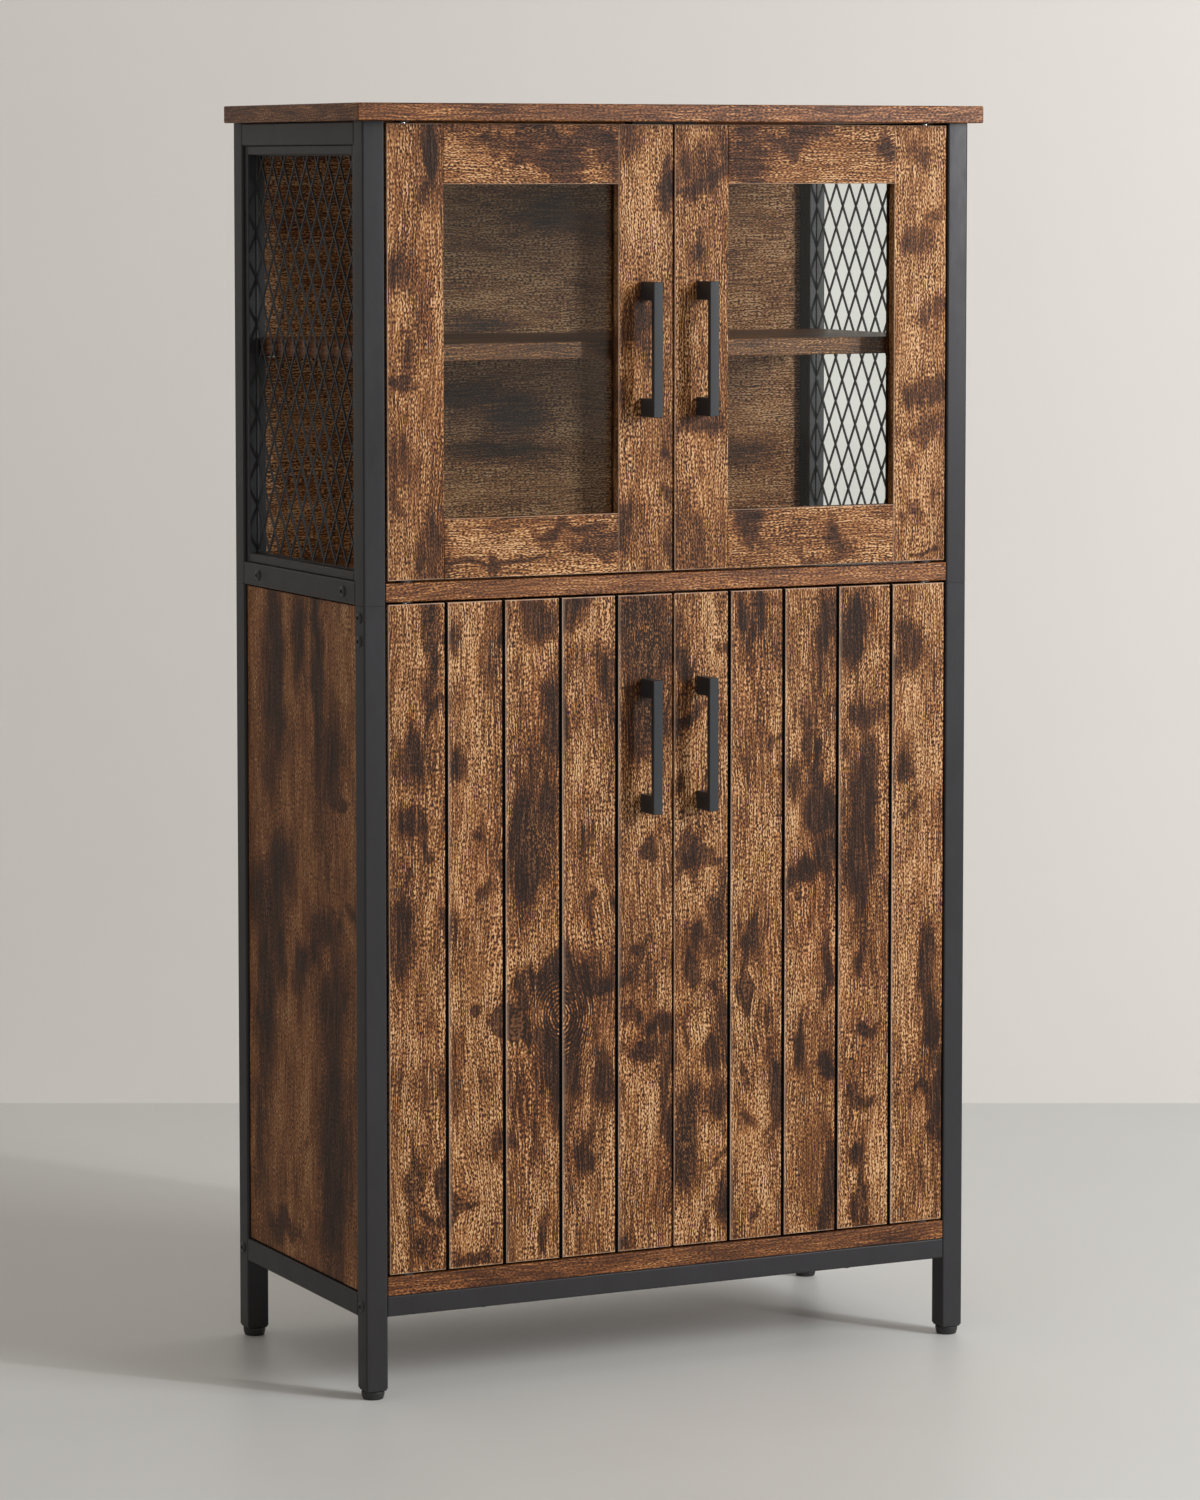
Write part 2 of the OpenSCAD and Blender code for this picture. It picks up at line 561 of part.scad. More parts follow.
module strike_plate(z) {
  color([0.7, 0.7, 0.72]) place() translate([-catch_x, door_t, z - strike_z]) rotate([90, 0, 0]) {
    difference() {
      translate([0, 0, -1.3]) cylinder(h = 1.3, r = 6.5);
      translate([0, 0, -2]) cylinder(h = 3, r = screw_r + 0.1);
      translate([0, 0, -1.3]) cylinder(h = 1.31, r1 = 3.2, r2 = 1.9);
    }
    difference() {
      rotate_extrude() polygon([[0, 8], [0.6, 8], [screw_r, 5], [screw_r, 0], [3, -1.2], [0, -1.2]]);
      for (a = [0, 90]) rotate([0, 0, a]) translate([-1.4, -0.35, -1.5]) cube([2.8, 0.7, 1.2]);
    }
  }
}
module upper_left_outer_stile() { outer_stile(); }
module upper_left_inner_stile() { inner_stile(); }
module upper_left_top_rail() { door_rail(ud_z1 - rail_h, true); }
module upper_left_bottom_rail() { door_rail(ud_z0, false); }
module upper_left_glass() { glass(); }
module upper_left_glass_beads() { glass_beads(); }
module upper_left_handle() { handle(upper_handle_z); }
module upper_left_handle_screws() { handle_screws(upper_handle_z); }
module upper_left_pivot_pins() { pivot_pins(ud_z0, ud_z1); }
module upper_left_strike_plate() { strike_plate(ud_z1); }
module upper_right_outer_stile() { right() outer_stile(); }
module upper_right_inner_stile() { right() inner_stile(); }
module upper_right_top_rail() { right() door_rail(ud_z1 - rail_h, true); }
module upper_right_bottom_rail() { right() door_rail(ud_z0, false); }
module upper_right_glass() { right() glass(); }
module upper_right_glass_beads() { right() glass_beads(); }
module upper_right_handle() { right() handle(upper_handle_z); }
module upper_right_handle_screws() { right() handle_screws(upper_handle_z); }
module upper_right_pivot_pins() { right() pivot_pins(ud_z0, ud_z1); }
module upper_right_strike_plate() { right() strike_plate(ud_z1); }
module lower_left_door_panel() { plank_door(); }
module lower_left_handle() { handle(lower_handle_z); }
module lower_left_handle_screws() { handle_screws(lower_handle_z); }
module lower_left_pivot_pins() { pivot_pins(ld_z0, ld_z1); }
module lower_left_strike_plate() { strike_plate(ld_z1); }
module lower_right_door_panel() { right() plank_door(); }
module lower_right_handle() { right() handle(lower_handle_z); }
module lower_right_handle_screws() { right() handle_screws(lower_handle_z); }
module lower_right_pivot_pins() { right() pivot_pins(ld_z0, ld_z1); }
module lower_right_strike_plate() { right() strike_plate(ld_z1); }

top_panel();
middle_panel();
bottom_panel();
upper_shelf();
lower_shelf();
upper_back_panel();
lower_back_panel();
side_panel_left();
side_panel_right();
upper_frame_left();
upper_frame_right();
lower_frame_left();
lower_frame_right();
front_rail();
rear_rail();
mesh_frame_left();
mesh_frame_right();
mesh_left();
mesh_right();
post_sleeves();
frame_bolts();
wood_screws();
shelf_pins();
leg_plugs();
pivot_bushes();
magnetic_catches();
foot_front_left();
foot_front_right();
foot_rear_left();
foot_rear_right();
upper_left_outer_stile();
upper_left_inner_stile();
upper_left_top_rail();
upper_left_bottom_rail();
upper_left_glass();
upper_left_glass_beads();
upper_left_handle();
upper_left_handle_screws();
upper_left_pivot_pins();
upper_left_strike_plate();
upper_right_outer_stile();
upper_right_inner_stile();
upper_right_top_rail();
upper_right_bottom_rail();
upper_right_glass();
upper_right_glass_beads();
upper_right_handle();
upper_right_handle_screws();
upper_right_pivot_pins();
upper_right_strike_plate();
lower_left_door_panel();
lower_left_handle();
lower_left_handle_screws();
lower_left_pivot_pins();
lower_left_strike_plate();
lower_right_door_panel();
lower_right_handle();
lower_right_handle_screws();
lower_right_pivot_pins();
lower_right_strike_plate();
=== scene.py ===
import json
import math
import bpy
import bmesh
import numpy as np
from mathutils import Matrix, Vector

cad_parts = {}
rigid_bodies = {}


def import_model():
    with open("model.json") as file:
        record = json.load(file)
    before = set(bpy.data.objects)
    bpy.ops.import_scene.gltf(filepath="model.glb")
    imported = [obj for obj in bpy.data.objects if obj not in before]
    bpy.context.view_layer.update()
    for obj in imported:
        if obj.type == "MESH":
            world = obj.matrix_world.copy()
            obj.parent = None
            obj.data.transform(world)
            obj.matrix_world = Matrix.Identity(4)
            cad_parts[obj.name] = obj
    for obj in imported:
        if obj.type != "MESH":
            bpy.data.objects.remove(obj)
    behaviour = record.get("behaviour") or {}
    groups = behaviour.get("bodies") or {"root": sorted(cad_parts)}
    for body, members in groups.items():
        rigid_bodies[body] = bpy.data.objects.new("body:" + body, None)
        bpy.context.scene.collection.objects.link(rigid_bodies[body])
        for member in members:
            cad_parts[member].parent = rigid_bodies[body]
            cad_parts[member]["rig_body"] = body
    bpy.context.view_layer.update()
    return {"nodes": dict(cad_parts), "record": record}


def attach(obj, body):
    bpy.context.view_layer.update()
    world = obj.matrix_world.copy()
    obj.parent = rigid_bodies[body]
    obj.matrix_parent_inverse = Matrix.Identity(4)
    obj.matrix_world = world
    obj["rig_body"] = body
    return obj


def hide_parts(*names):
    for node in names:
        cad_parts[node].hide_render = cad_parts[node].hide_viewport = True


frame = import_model()

# All lengths below are millimetres. X runs from the cabinet's middle, Y from the front face of
# the steel posts towards the back, Z up from the floor.
Y_SHIFT = 131.5
XO, XI = 291.0, 271.0          # outer and inner faces of the tubes
scene = bpy.context.scene


# ------------------------------------------------------------------ camera
def at(x, y, z):
    return Vector((x / 1000.0, (y - Y_SHIFT) / 1000.0, z / 1000.0))


cam_data = bpy.data.cameras.new("camera")
cam_data.sensor_width = 36.0
cam_data.lens = 122.74
cam_data.shift_x = -0.00428
cam_data.shift_y = -0.12
cam_data.clip_end = 100.0
cam = bpy.data.objects.new("camera", cam_data)
scene.collection.objects.link(cam)
YAW, PITCH = math.radians(26.03), math.radians(4.497)
cam.location = at(-1985.5, -3933.4, 1045.8)
cam.rotation_euler = (math.pi / 2 - PITCH, 0.0, -YAW)
scene.camera = cam


# ------------------------------------------------------------------ node helpers
def lin(*rgb):
    out = []
    for c in rgb:
        c /= 255.0
        out.append(c / 12.92 if c <= 0.04045 else ((c + 0.055) / 1.055) ** 2.4)
    return (*out, 1.0)


class Tree:
    def __init__(self, name):
        self.mat = bpy.data.materials.new(name)
        self.mat.use_nodes = True
        self.nt = self.mat.node_tree
        self.nt.nodes.clear()
        self.out = self.nt.nodes.new("ShaderNodeOutputMaterial")

    def add(self, kind, **props):
        n = self.nt.nodes.new(kind)
        for k, v in props.items():
            setattr(n, k, v)
        return n

    def put(self, socket, value):
        if value is None:
            return
        if isinstance(value, bpy.types.NodeSocket):
            self.nt.links.new(value, socket)
        else:
            socket.default_value = value

    def attr(self, name):
        return self.add("ShaderNodeAttribute", attribute_type="GEOMETRY", attribute_name=name).outputs["Vector"]

    def math(self, op, a, b=0.0, c=0.0, clamp=False):
        n = self.add("ShaderNodeMath", operation=op, use_clamp=clamp)
        for s, v in zip(n.inputs, (a, b, c)):
            self.put(s, v)
        return n.outputs[0]

    def vec(self, op, a, b=None, c=None):
        n = self.add("ShaderNodeVectorMath", operation=op)
        for s, v in zip(n.inputs, (a, b, c)):
            self.put(s, v)
        return n.outputs[0]

    def split(self, v):
        n = self.add("ShaderNodeSeparateXYZ")
        self.put(n.inputs[0], v)
        return n.outputs

    def join(self, x, y, z=0.0):
        n = self.add("ShaderNodeCombineXYZ")
        for s, v in zip(n.inputs, (x, y, z)):
            self.put(s, v)
        return n.outputs[0]

    def noise(self, v, scale=(1.0, 1.0, 1.0), move=(0.0, 0.0, 0.0), detail=0.0, rough=0.5, dims="2D", distort=0.0):
        n = self.add("ShaderNodeTexNoise", noise_dimensions=dims)
        self.put(n.inputs["Vector"], self.vec("MULTIPLY_ADD", v, scale, move))
        n.inputs["Scale"].default_value = 1.0
        n.inputs["Detail"].default_value = detail
        n.inputs["Roughness"].default_value = rough
        n.inputs["Distortion"].default_value = distort
        return n.outputs[0]

    def fit(self, v, a, b, c=0.0, d=1.0, smooth=False):
        n = self.add("ShaderNodeMapRange", interpolation_type="SMOOTHSTEP" if smooth else "LINEAR", clamp=True)
        for s, x in zip(n.inputs[:5], (v, a, b, c, d)):
            self.put(s, x)
        return n.outputs[0]

    def mix(self, f, a, b, mode="MIX"):
        n = self.add("ShaderNodeMix", data_type="RGBA", blend_type=mode)
        self.put(n.inputs[0], f)
        self.put(n.inputs[6], a)
        self.put(n.inputs[7], b)
        return n.outputs[2]

    def ramp(self, v, stops):
        n = self.add("ShaderNodeValToRGB")
        r = n.color_ramp
        while len(r.elements) > 1:
            r.elements.remove(r.elements[-1])
        r.elements[0].position, r.elements[0].color = stops[0]
        for p, c in stops[1:]:
            r.elements.new(p).color = c
        self.put(n.inputs[0], v)
        return n.outputs[0]

    def bump(self, height, strength, distance, normal=None):
        n = self.add("ShaderNodeBump")
        n.inputs["Strength"].default_value = strength
        n.inputs["Distance"].default_value = distance
        self.put(n.inputs["Height"], height)
        self.put(n.inputs["Normal"], normal)
        return n.outputs[0]

    def principled(self, **values):
        n = self.add("ShaderNodeBsdfPrincipled")
        for k, v in values.items():
            self.put(n.inputs[k.replace("_", " ")], v)
        self.nt.links.new(n.outputs[0], self.out.inputs["Surface"])
        return n


# ------------------------------------------------------------------ materials
def wood_material(name, shade=0.0, red=0.0, pore=1.0, rough=0.5, spec=0.22, swing=1.0, deep=0.68):
    """Printed-wood laminate. The meshes carry 'grain' (across, along, mm), 'marks' (smoke, tone with a painted sheen in
    places, red),
    'lines' (fleck, ring radius, ring weight) and 'edges' (ink, calm, arris_highlight: a painted highlight on front
    arrises)."""
    t = Tree(name)
    g = t.attr("grain")
    smoke0, tone, redness, = t.split(t.attr("marks"))
    fleck, ring_r, ring_w = t.split(t.attr("lines"))
    ink, calm, arris_highlight = t.split(t.attr("edges"))
    # the grain wanders a little
    sway = t.noise(g, (1 / 55, 1 / 150, 0), (3.1, 7.7, 0), detail=2.0)
    gx, gl, _ = t.split(g)
    gx2 = t.math("MULTIPLY_ADD", t.math("SUBTRACT", sway, 0.5), 16.0, gx)
    gw = t.join(gx2, gl)
    broad = t.noise(gw, (1 / 28, 1 / 95, 0), (11.3, 2.9, 0), detail=3.0, rough=0.55)
    band = t.noise(gw, (1 / 7.5, 1 / 130, 0), (5.7, 31.1, 0), detail=2.0, rough=0.6)
    thread = t.noise(gw, (1 / 1.9, 1 / 45, 0), (41.0, 17.3, 0), detail=1.0)
    blot = t.noise(g, (1 / 17, 1 / 32, 0), (71.9, 23.3, 0), detail=3.0, rough=0.6)
    ragged = t.noise(gw, (1 / 3.4, 1 / 8.0, 0), (13.9, 53.3, 0), detail=2.0, rough=0.6)
    pores = t.fit(t.noise(gw, (1 / 1.05, 1 / 2.7, 0), (0.0, 0.0, 0), detail=0.6, rough=0.5, distort=0.1), 0.28, 0.72)
    fine = t.fit(t.noise(gw, (1 / 6.0, 1 / 16, 0), (9.0, 4.0, 0), detail=1.0), 0.3, 0.7)
    wander = t.noise(gw, (1 / 5.0, 1 / 26, 0), (27.0, 8.0, 0), detail=1.0)
    column = t.math("SINE", t.math("MULTIPLY_ADD", gx2, 2.4, t.math("MULTIPLY_ADD", pores, 1.6, t.math("MULTIPLY", wander, 11.0))))
    ring = t.math("SINE", t.math("MULTIPLY_ADD", t.math("SUBTRACT", ragged, 0.5), 3.0, t.math("MULTIPLY", ring_r, 2.3)))
    ring = t.math("MULTIPLY", ring, ring_w)
    # where the print is smoky: soft-edged, feathered along the grain and uneven
    s = t.math("MULTIPLY_ADD", t.math("SUBTRACT", blot, 0.5), 1.6, smoke0)
    s = t.math("MULTIPLY_ADD", t.math("SUBTRACT", ragged, 0.5), 0.7, s)
    s = t.math("MULTIPLY_ADD", t.math("SUBTRACT", thread, 0.5), 0.7, s)
    s = t.math("MULTIPLY_ADD", t.math("SUBTRACT", pores, 0.5), -0.12, s)
    s = t.math("MULTIPLY_ADD", ring, -0.6, s)
    smoke = t.fit(s, -0.24, 1.16, smooth=True)
    halo = t.fit(s, -1.15, 0.55, smooth=True)
    # how strongly the pores are drawn here
    zone = t.noise(g, (1 / 22, 1 / 60, 0), (91.0, 3.0, 0), detail=1.0)
    draw = t.fit(zone, 0.3, 0.68, 0.72, 1.15)
    draw = t.math("MULTIPLY", draw, t.math("MULTIPLY_ADD", calm, -0.3, 1.18))
    draw = t.math("MULTIPLY", draw, t.fit(smoke, 0.0, 1.0, pore, 0.7 * pore))
    keen = t.math("MULTIPLY_ADD", calm, -1.1, 1.0)
    # brightness of the print
    v = t.math("MULTIPLY_ADD", t.math("MULTIPLY", t.math("SUBTRACT", broad, 0.5), keen), 0.78 * swing, 0.488 + shade)
    v = t.math("MULTIPLY_ADD", tone, 0.85, v)
    v = t.math("MULTIPLY_ADD", t.math("MULTIPLY", t.math("SUBTRACT", blot, 0.5), keen), 0.22 * swing, v)
    v = t.math("MULTIPLY_ADD", t.math("SUBTRACT", band, 0.5), 0.26 * swing, v)
    v = t.math("MULTIPLY_ADD", t.math("MULTIPLY", t.math("SUBTRACT", thread, 0.5), keen), 0.62 * swing, v)
    line = t.noise(gw, (1 / 0.8, 1 / 30, 0), (19.0, 77.0, 0), detail=1.0)
    v = t.math("MULTIPLY_ADD", t.math("MULTIPLY", t.math("SUBTRACT", line, 0.5), keen), 0.70 * swing, v)
    v = t.math("MULTIPLY_ADD", halo, -0.33, v)
    v = t.math("MULTIPLY_ADD", ring, 0.26, v)
    dash = t.math("MULTIPLY", column, t.math("MULTIPLY_ADD", fine, 0.32, 0.17))
    dash = t.math("MULTIPLY_ADD", t.math("SUBTRACT", pores, 0.5), 1.5, dash)
    v = t.math("MULTIPLY_ADD", t.math("MULTIPLY", dash, draw), t.math("MAXIMUM", v, 0.12), v)
    colour = t.ramp(v, [
        (0.0, lin(33, 17, 9)), (0.2, lin(68, 39, 20)), (0.4, lin(108, 66, 36)),
        (0.6, lin(147, 97, 54)), (0.8, lin(181, 132, 83)), (1.0, lin(208, 169, 127))])
    # reddish zones
    hue = t.noise(g, (1 / 26, 1 / 90, 0), (61.0, 83.0, 0), detail=2.0)
    rz = t.math("ADD", t.fit(hue, 0.48, 0.8, 0.0, 0.36), redness)
    rz = t.math("ADD", rz, red, clamp=True)
    colour = t.mix(rz, colour, t.mix(1.0, colour, (0.93, 0.78, 0.72, 1.0), "MULTIPLY"))
    # charcoal of the smoky patches, with the grain just showing
    char = t.ramp(t.math("MULTIPLY_ADD", t.math("SUBTRACT", thread, 0.5), 1.0,
                         t.math("MULTIPLY_ADD", t.math("SUBTRACT", pores, 0.5), 0.62, 0.5)),
                  [(0.1, lin(26, 11, 5)), (0.5, lin(52, 30, 18)), (0.85, lin(116, 77, 49))])
    colour = t.mix(t.math("MULTIPLY", smoke, t.math("MULTIPLY", keen, deep)), colour, char)
    # light flecks in a dark patch
    fl = t.fit(t.math("MULTIPLY_ADD", pores, 0.45, t.math("MULTIPLY", ragged, 0.8)), 0.74, 0.86)
    colour = t.mix(t.math("MULTIPLY", fl, t.math("MULTIPLY", fleck, 0.55), clamp=True), colour, lin(198, 138, 84))
    # painted highlight along the chosen front arrises and beside each groove, and the black-painted groove
    colour = t.mix(t.math("MULTIPLY", arris_highlight, t.fit(band, 0.3, 0.6, 0.55, 1.0), clamp=True), colour, lin(192, 164, 142))
    colour = t.mix(ink, colour, lin(14, 12, 12))
    h = t.math("ADD", t.math("MULTIPLY", dash, draw), t.math("ADD", t.math("MULTIPLY", thread, 0.5), t.math("MULTIPLY", line, 0.7)))
    r = t.fit(t.math("ADD", pores, thread), 0.4, 1.5, rough + 0.07, rough - 0.05)
    t.principled(Base_Color=colour, Roughness=r, Specular_IOR_Level=spec, Normal=t.bump(h, 0.35, 0.00018))
    return t.mat


def coat_material(name, colour, rough, grit=0.9, depth=0.00006, spec=0.5):
    """Powder coat: a fine orange peel, slightly uneven in gloss."""
    t = Tree(name)
    p = t.add("ShaderNodeTexCoord").outputs["Object"]
    peel = t.noise(p, (1000 / grit,) * 3, detail=2.0, rough=0.6, dims="3D")
    wide = t.noise(p, (28, 28, 9), (3, 1, 2), detail=3.0, dims="3D")
    dust = t.noise(p, (160, 160, 60), (0, 5, 2), detail=4.0, rough=0.7, dims="3D")
    v = t.math("MULTIPLY_ADD", t.math("SUBTRACT", wide, 0.5), 0.35, 0.5)
    v = t.math("MULTIPLY_ADD", t.math("SUBTRACT", dust, 0.5), 0.4, v)
    v = t.math("MULTIPLY_ADD", t.math("SUBTRACT", peel, 0.5), 0.3, v)
    a = tuple(c * 0.80 for c in colour[:3]) + (1.0,)
    b = tuple(c * 1.22 for c in colour[:3]) + (1.0,)
    t.principled(Base_Color=t.ramp(v, [(0.25, a), (0.75, b)]),
                 Roughness=t.fit(t.math("ADD", wide, dust), 0.7, 1.3, rough - 0.05, rough + 0.06),
                 Specular_IOR_Level=spec, Normal=t.bump(peel, 0.35, depth))
    return t.mat


def zinc_material(name):
    t = Tree(name)
    p = t.add("ShaderNodeTexCoord").outputs["Object"]
    cell = t.add("ShaderNodeTexVoronoi", voronoi_dimensions="3D")
    t.put(cell.inputs["Vector"], t.vec("MULTIPLY", p, (420, 420, 420)))
    cell.inputs["Scale"].default_value = 1.0
    tone = t.split(cell.outputs["Color"])[0]
    haze = t.noise(p, (220, 220, 220), detail=3.0, dims="3D")
    v = t.math("MULTIPLY_ADD", tone, 0.35, haze)
    t.principled(Base_Color=t.ramp(v, [(0.3, (0.42, 0.43, 0.45, 1)), (0.9, (0.68, 0.69, 0.71, 1))]),
                 Metallic=1.0, Roughness=t.fit(v, 0.3, 0.9, 0.42, 0.26), Normal=t.bump(haze, 0.2, 0.00004))
    return t.mat


def plastic_material(name):
    t = Tree(name)
    p = t.add("ShaderNodeTexCoord").outputs["Object"]
    grit = t.noise(p, (1400, 1400, 1400), detail=2.0, dims="3D")
    soft = t.noise(p, (130, 130, 130), (2, 2, 2), detail=3.0, dims="3D")
    v = t.math("ADD", t.math("MULTIPLY", soft, 0.7), t.math("MULTIPLY", grit, 0.3))
    t.principled(Base_Color=t.ramp(v, [(0.3, (0.013, 0.013, 0.014, 1)), (0.7, (0.026, 0.026, 0.027, 1))]),
                 Roughness=t.fit(v, 0.35, 0.65, 0.42, 0.56), Specular_IOR_Level=0.45, Normal=t.bump(grit, 0.4, 0.00005))
    return t.mat


def glass_material(name):
    t = Tree(name)
    clear = t.add("ShaderNodeBsdfTransparent")
    clear.inputs["Color"].default_value = (0.93, 0.955, 0.945, 1.0)
    shine = t.add("ShaderNodeBsdfGlossy")
    shine.inputs["Color"].default_value = (1, 1, 1, 1)
    p = t.add("ShaderNodeTexCoord").outputs["Object"]
    film = t.noise(p, (9, 9, 9), detail=4.0, dims="3D")
    t.put(shine.inputs["Roughness"], t.fit(film, 0.35, 0.7, 0.015, 0.05))
    lw = t.add("ShaderNodeLayerWeight")
    lw.inputs["Blend"].default_value = 0.5
    m = t.add("ShaderNodeMixShader")
    t.put(m.inputs[0], t.math("MULTIPLY_ADD", t.math("POWER", lw.outputs["Facing"], 4.0), 0.85, 0.026, clamp=True))
    t.nt.links.new(clear.outputs[0], m.inputs[1])
    t.nt.links.new(shine.outputs[0], m.inputs[2])
    t.nt.links.new(m.outputs[0], t.out.inputs["Surface"])
    return t.mat


MAT = {
    "door_laminate": wood_material("door_laminate", shade=-0.015),
    "side_laminate": wood_material("side_laminate", shade=-0.02, red=0.12, pore=0.6, rough=0.5, swing=0.8, deep=0.55),
    "board_laminate": wood_material("board_laminate", shade=-0.105, red=0.3, pore=0.6, rough=0.4, spec=0.26, swing=0.65, deep=0.6),
    # back_laminate: the back panels' own print, drawn lighter (shade=0.15) as painted light for the inside of the
    # cabinet
    "back_laminate": wood_material("back_laminate", shade=0.15, red=0.4, pore=0.8, rough=0.5, swing=0.8, deep=0.65),
    "bead_laminate": wood_material("bead_laminate", shade=-0.22, red=0.3, pore=0.6, rough=0.55),
    "frame_steel": coat_material("frame_steel", (0.0285, 0.0274, 0.0300), 0.34, spec=0.2),
    "mesh_steel": coat_material("mesh_steel", (0.029, 0.029, 0.031), 0.48, spec=0.4),
    "handle_black": coat_material("handle_black", (0.031, 0.033, 0.037), 0.36, grit=0.6, depth=0.00003, spec=0.25),
    "bolt_black": coat_material("bolt_black", (0.022, 0.022, 0.024), 0.34, grit=0.5, depth=0.00003),
    "zinc_steel": zinc_material("zinc_steel"),
    "black_plastic": plastic_material("black_plastic"),
    "clear_glass": glass_material("clear_glass"),
}


# ------------------------------------------------------------------ mesh helpers
def ticks(lo, hi, r, step, extra=(), m=2):
    """Positions along one side of a board: close together in the rounding, then every step."""
    a = [lo + r * (1 - math.tan(math.radians(45.0 * i / m))) for i in range(m, -1, -1)]
    b = [hi - (x - lo) for x in reversed(a)]
    stops = sorted([a[-1], b[0], *[e for e in extra if a[-1] < e < b[0]]])
    inner = []
    for p, q in zip(stops, stops[1:]):
        n = max(1, int(round((q - p) / step))) if step else 1
        inner += [p + (q - p) * i / n for i in range(1, n)] + [q]
    return np.array(a + inner[:-1] + b)


def grid_box(x, y, z, r, steps=(None, None, None), extra=((), (), ()), m=2):
    """A board with rounded edges and a regular grid on its faces.
    Gives vertices, quads, vertex normals and, for each quad, the side it lies on."""
    lines = [ticks(a[0], a[1], r, s, e, m) for a, s, e in zip((x, y, z), steps, extra)]
    n = [len(a) for a in lines]
    mask = np.zeros(n, bool)
    mask[0] = mask[-1] = True
    mask[:, 0] = mask[:, -1] = True
    mask[:, :, 0] = mask[:, :, -1] = True
    ids = np.full(n, -1)
    ids[mask] = np.arange(mask.sum())
    idx = np.argwhere(mask)
    p = np.stack([lines[k][idx[:, k]] for k in range(3)], 1)
    lo = np.array([x[0], y[0], z[0]]) + r
    hi = np.array([x[1], y[1], z[1]]) - r
    q = np.clip(p, lo, hi)
    d = p - q
    nrm = d / np.linalg.norm(d, axis=1)[:, None]
    p = q + nrm * r
    quads, side = [], []

    def face(a, flip, k):
        f = np.stack([a[:-1, :-1], a[1:, :-1], a[1:, 1:], a[:-1, 1:]], -1).reshape(-1, 4)
        quads.append(f[:, ::-1] if flip else f)
        side.append(np.full(len(f), k))
    face(ids[0], True, 0)
    face(ids[-1], False, 1)
    face(ids[:, 0], False, 2)
    face(ids[:, -1], True, 3)
    face(ids[:, :, 0], True, 4)
    face(ids[:, :, -1], False, 5)
    return p, np.concatenate(quads), nrm, np.concatenate(side)


def corner_normals(v, faces, limit=48.0):
    """Normals at the corners of faces, weighted by area, over the faces that turn less than limit."""
    v = np.asarray(v, float)
    fn, area, at_v = [], [], [[] for _ in v]
    for i, f in enumerate(faces):
        p = v[list(f)]
        s = np.zeros(3)
        for k in range(1, len(f) - 1):
            s += np.cross(p[k] - p[0], p[k + 1] - p[0])
        a = np.linalg.norm(s)
        fn.append(s / a if a > 0 else np.array([0, 0, 1.0]))
        area.append(a)
        for k in f:
            at_v[k].append(i)
    fn, area = np.array(fn), np.array(area)
    c = math.cos(math.radians(limit))
    out = []
    for i, f in enumerate(faces):
        for k in f:
            near = np.array(at_v[k])
            near = near[fn[near] @ fn[i] > c]
            s = (fn[near] * area[near, None]).sum(0)
            out.append(s / max(np.linalg.norm(s), 1e-12))
    return out


def make(name, v, faces, normals, node, slot, fields=None, nodes=None):
    """A mesh object in the frame's place, riding on its node's body and standing for the node."""
    me = bpy.data.meshes.new(name)
    co = np.asarray(v, float) / 1000.0
    co[:, 1] -= Y_SHIFT / 1000.0
    me.from_pydata([tuple(c) for c in co.tolist()], [], [tuple(int(i) for i in f) for f in faces])
    me.update()
    me.polygons.foreach_set("use_smooth", [True] * len(me.polygons))
    for key, (domain, data) in (fields or {}).items():
        a = me.attributes.new(key, "FLOAT_VECTOR", domain)
        a.data.foreach_set("vector", np.asarray(data, np.float32).ravel())
    me.normals_split_custom_set([tuple(n) for n in np.asarray(normals).tolist()])
    ob = bpy.data.objects.new(name, me)
    scene.collection.objects.link(ob)
    me.materials.append(MAT[slot])
    first = (nodes or [node])[0]
    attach(ob, frame["nodes"][first]["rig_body"])
    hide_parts(*(nodes or [node]))
    return ob


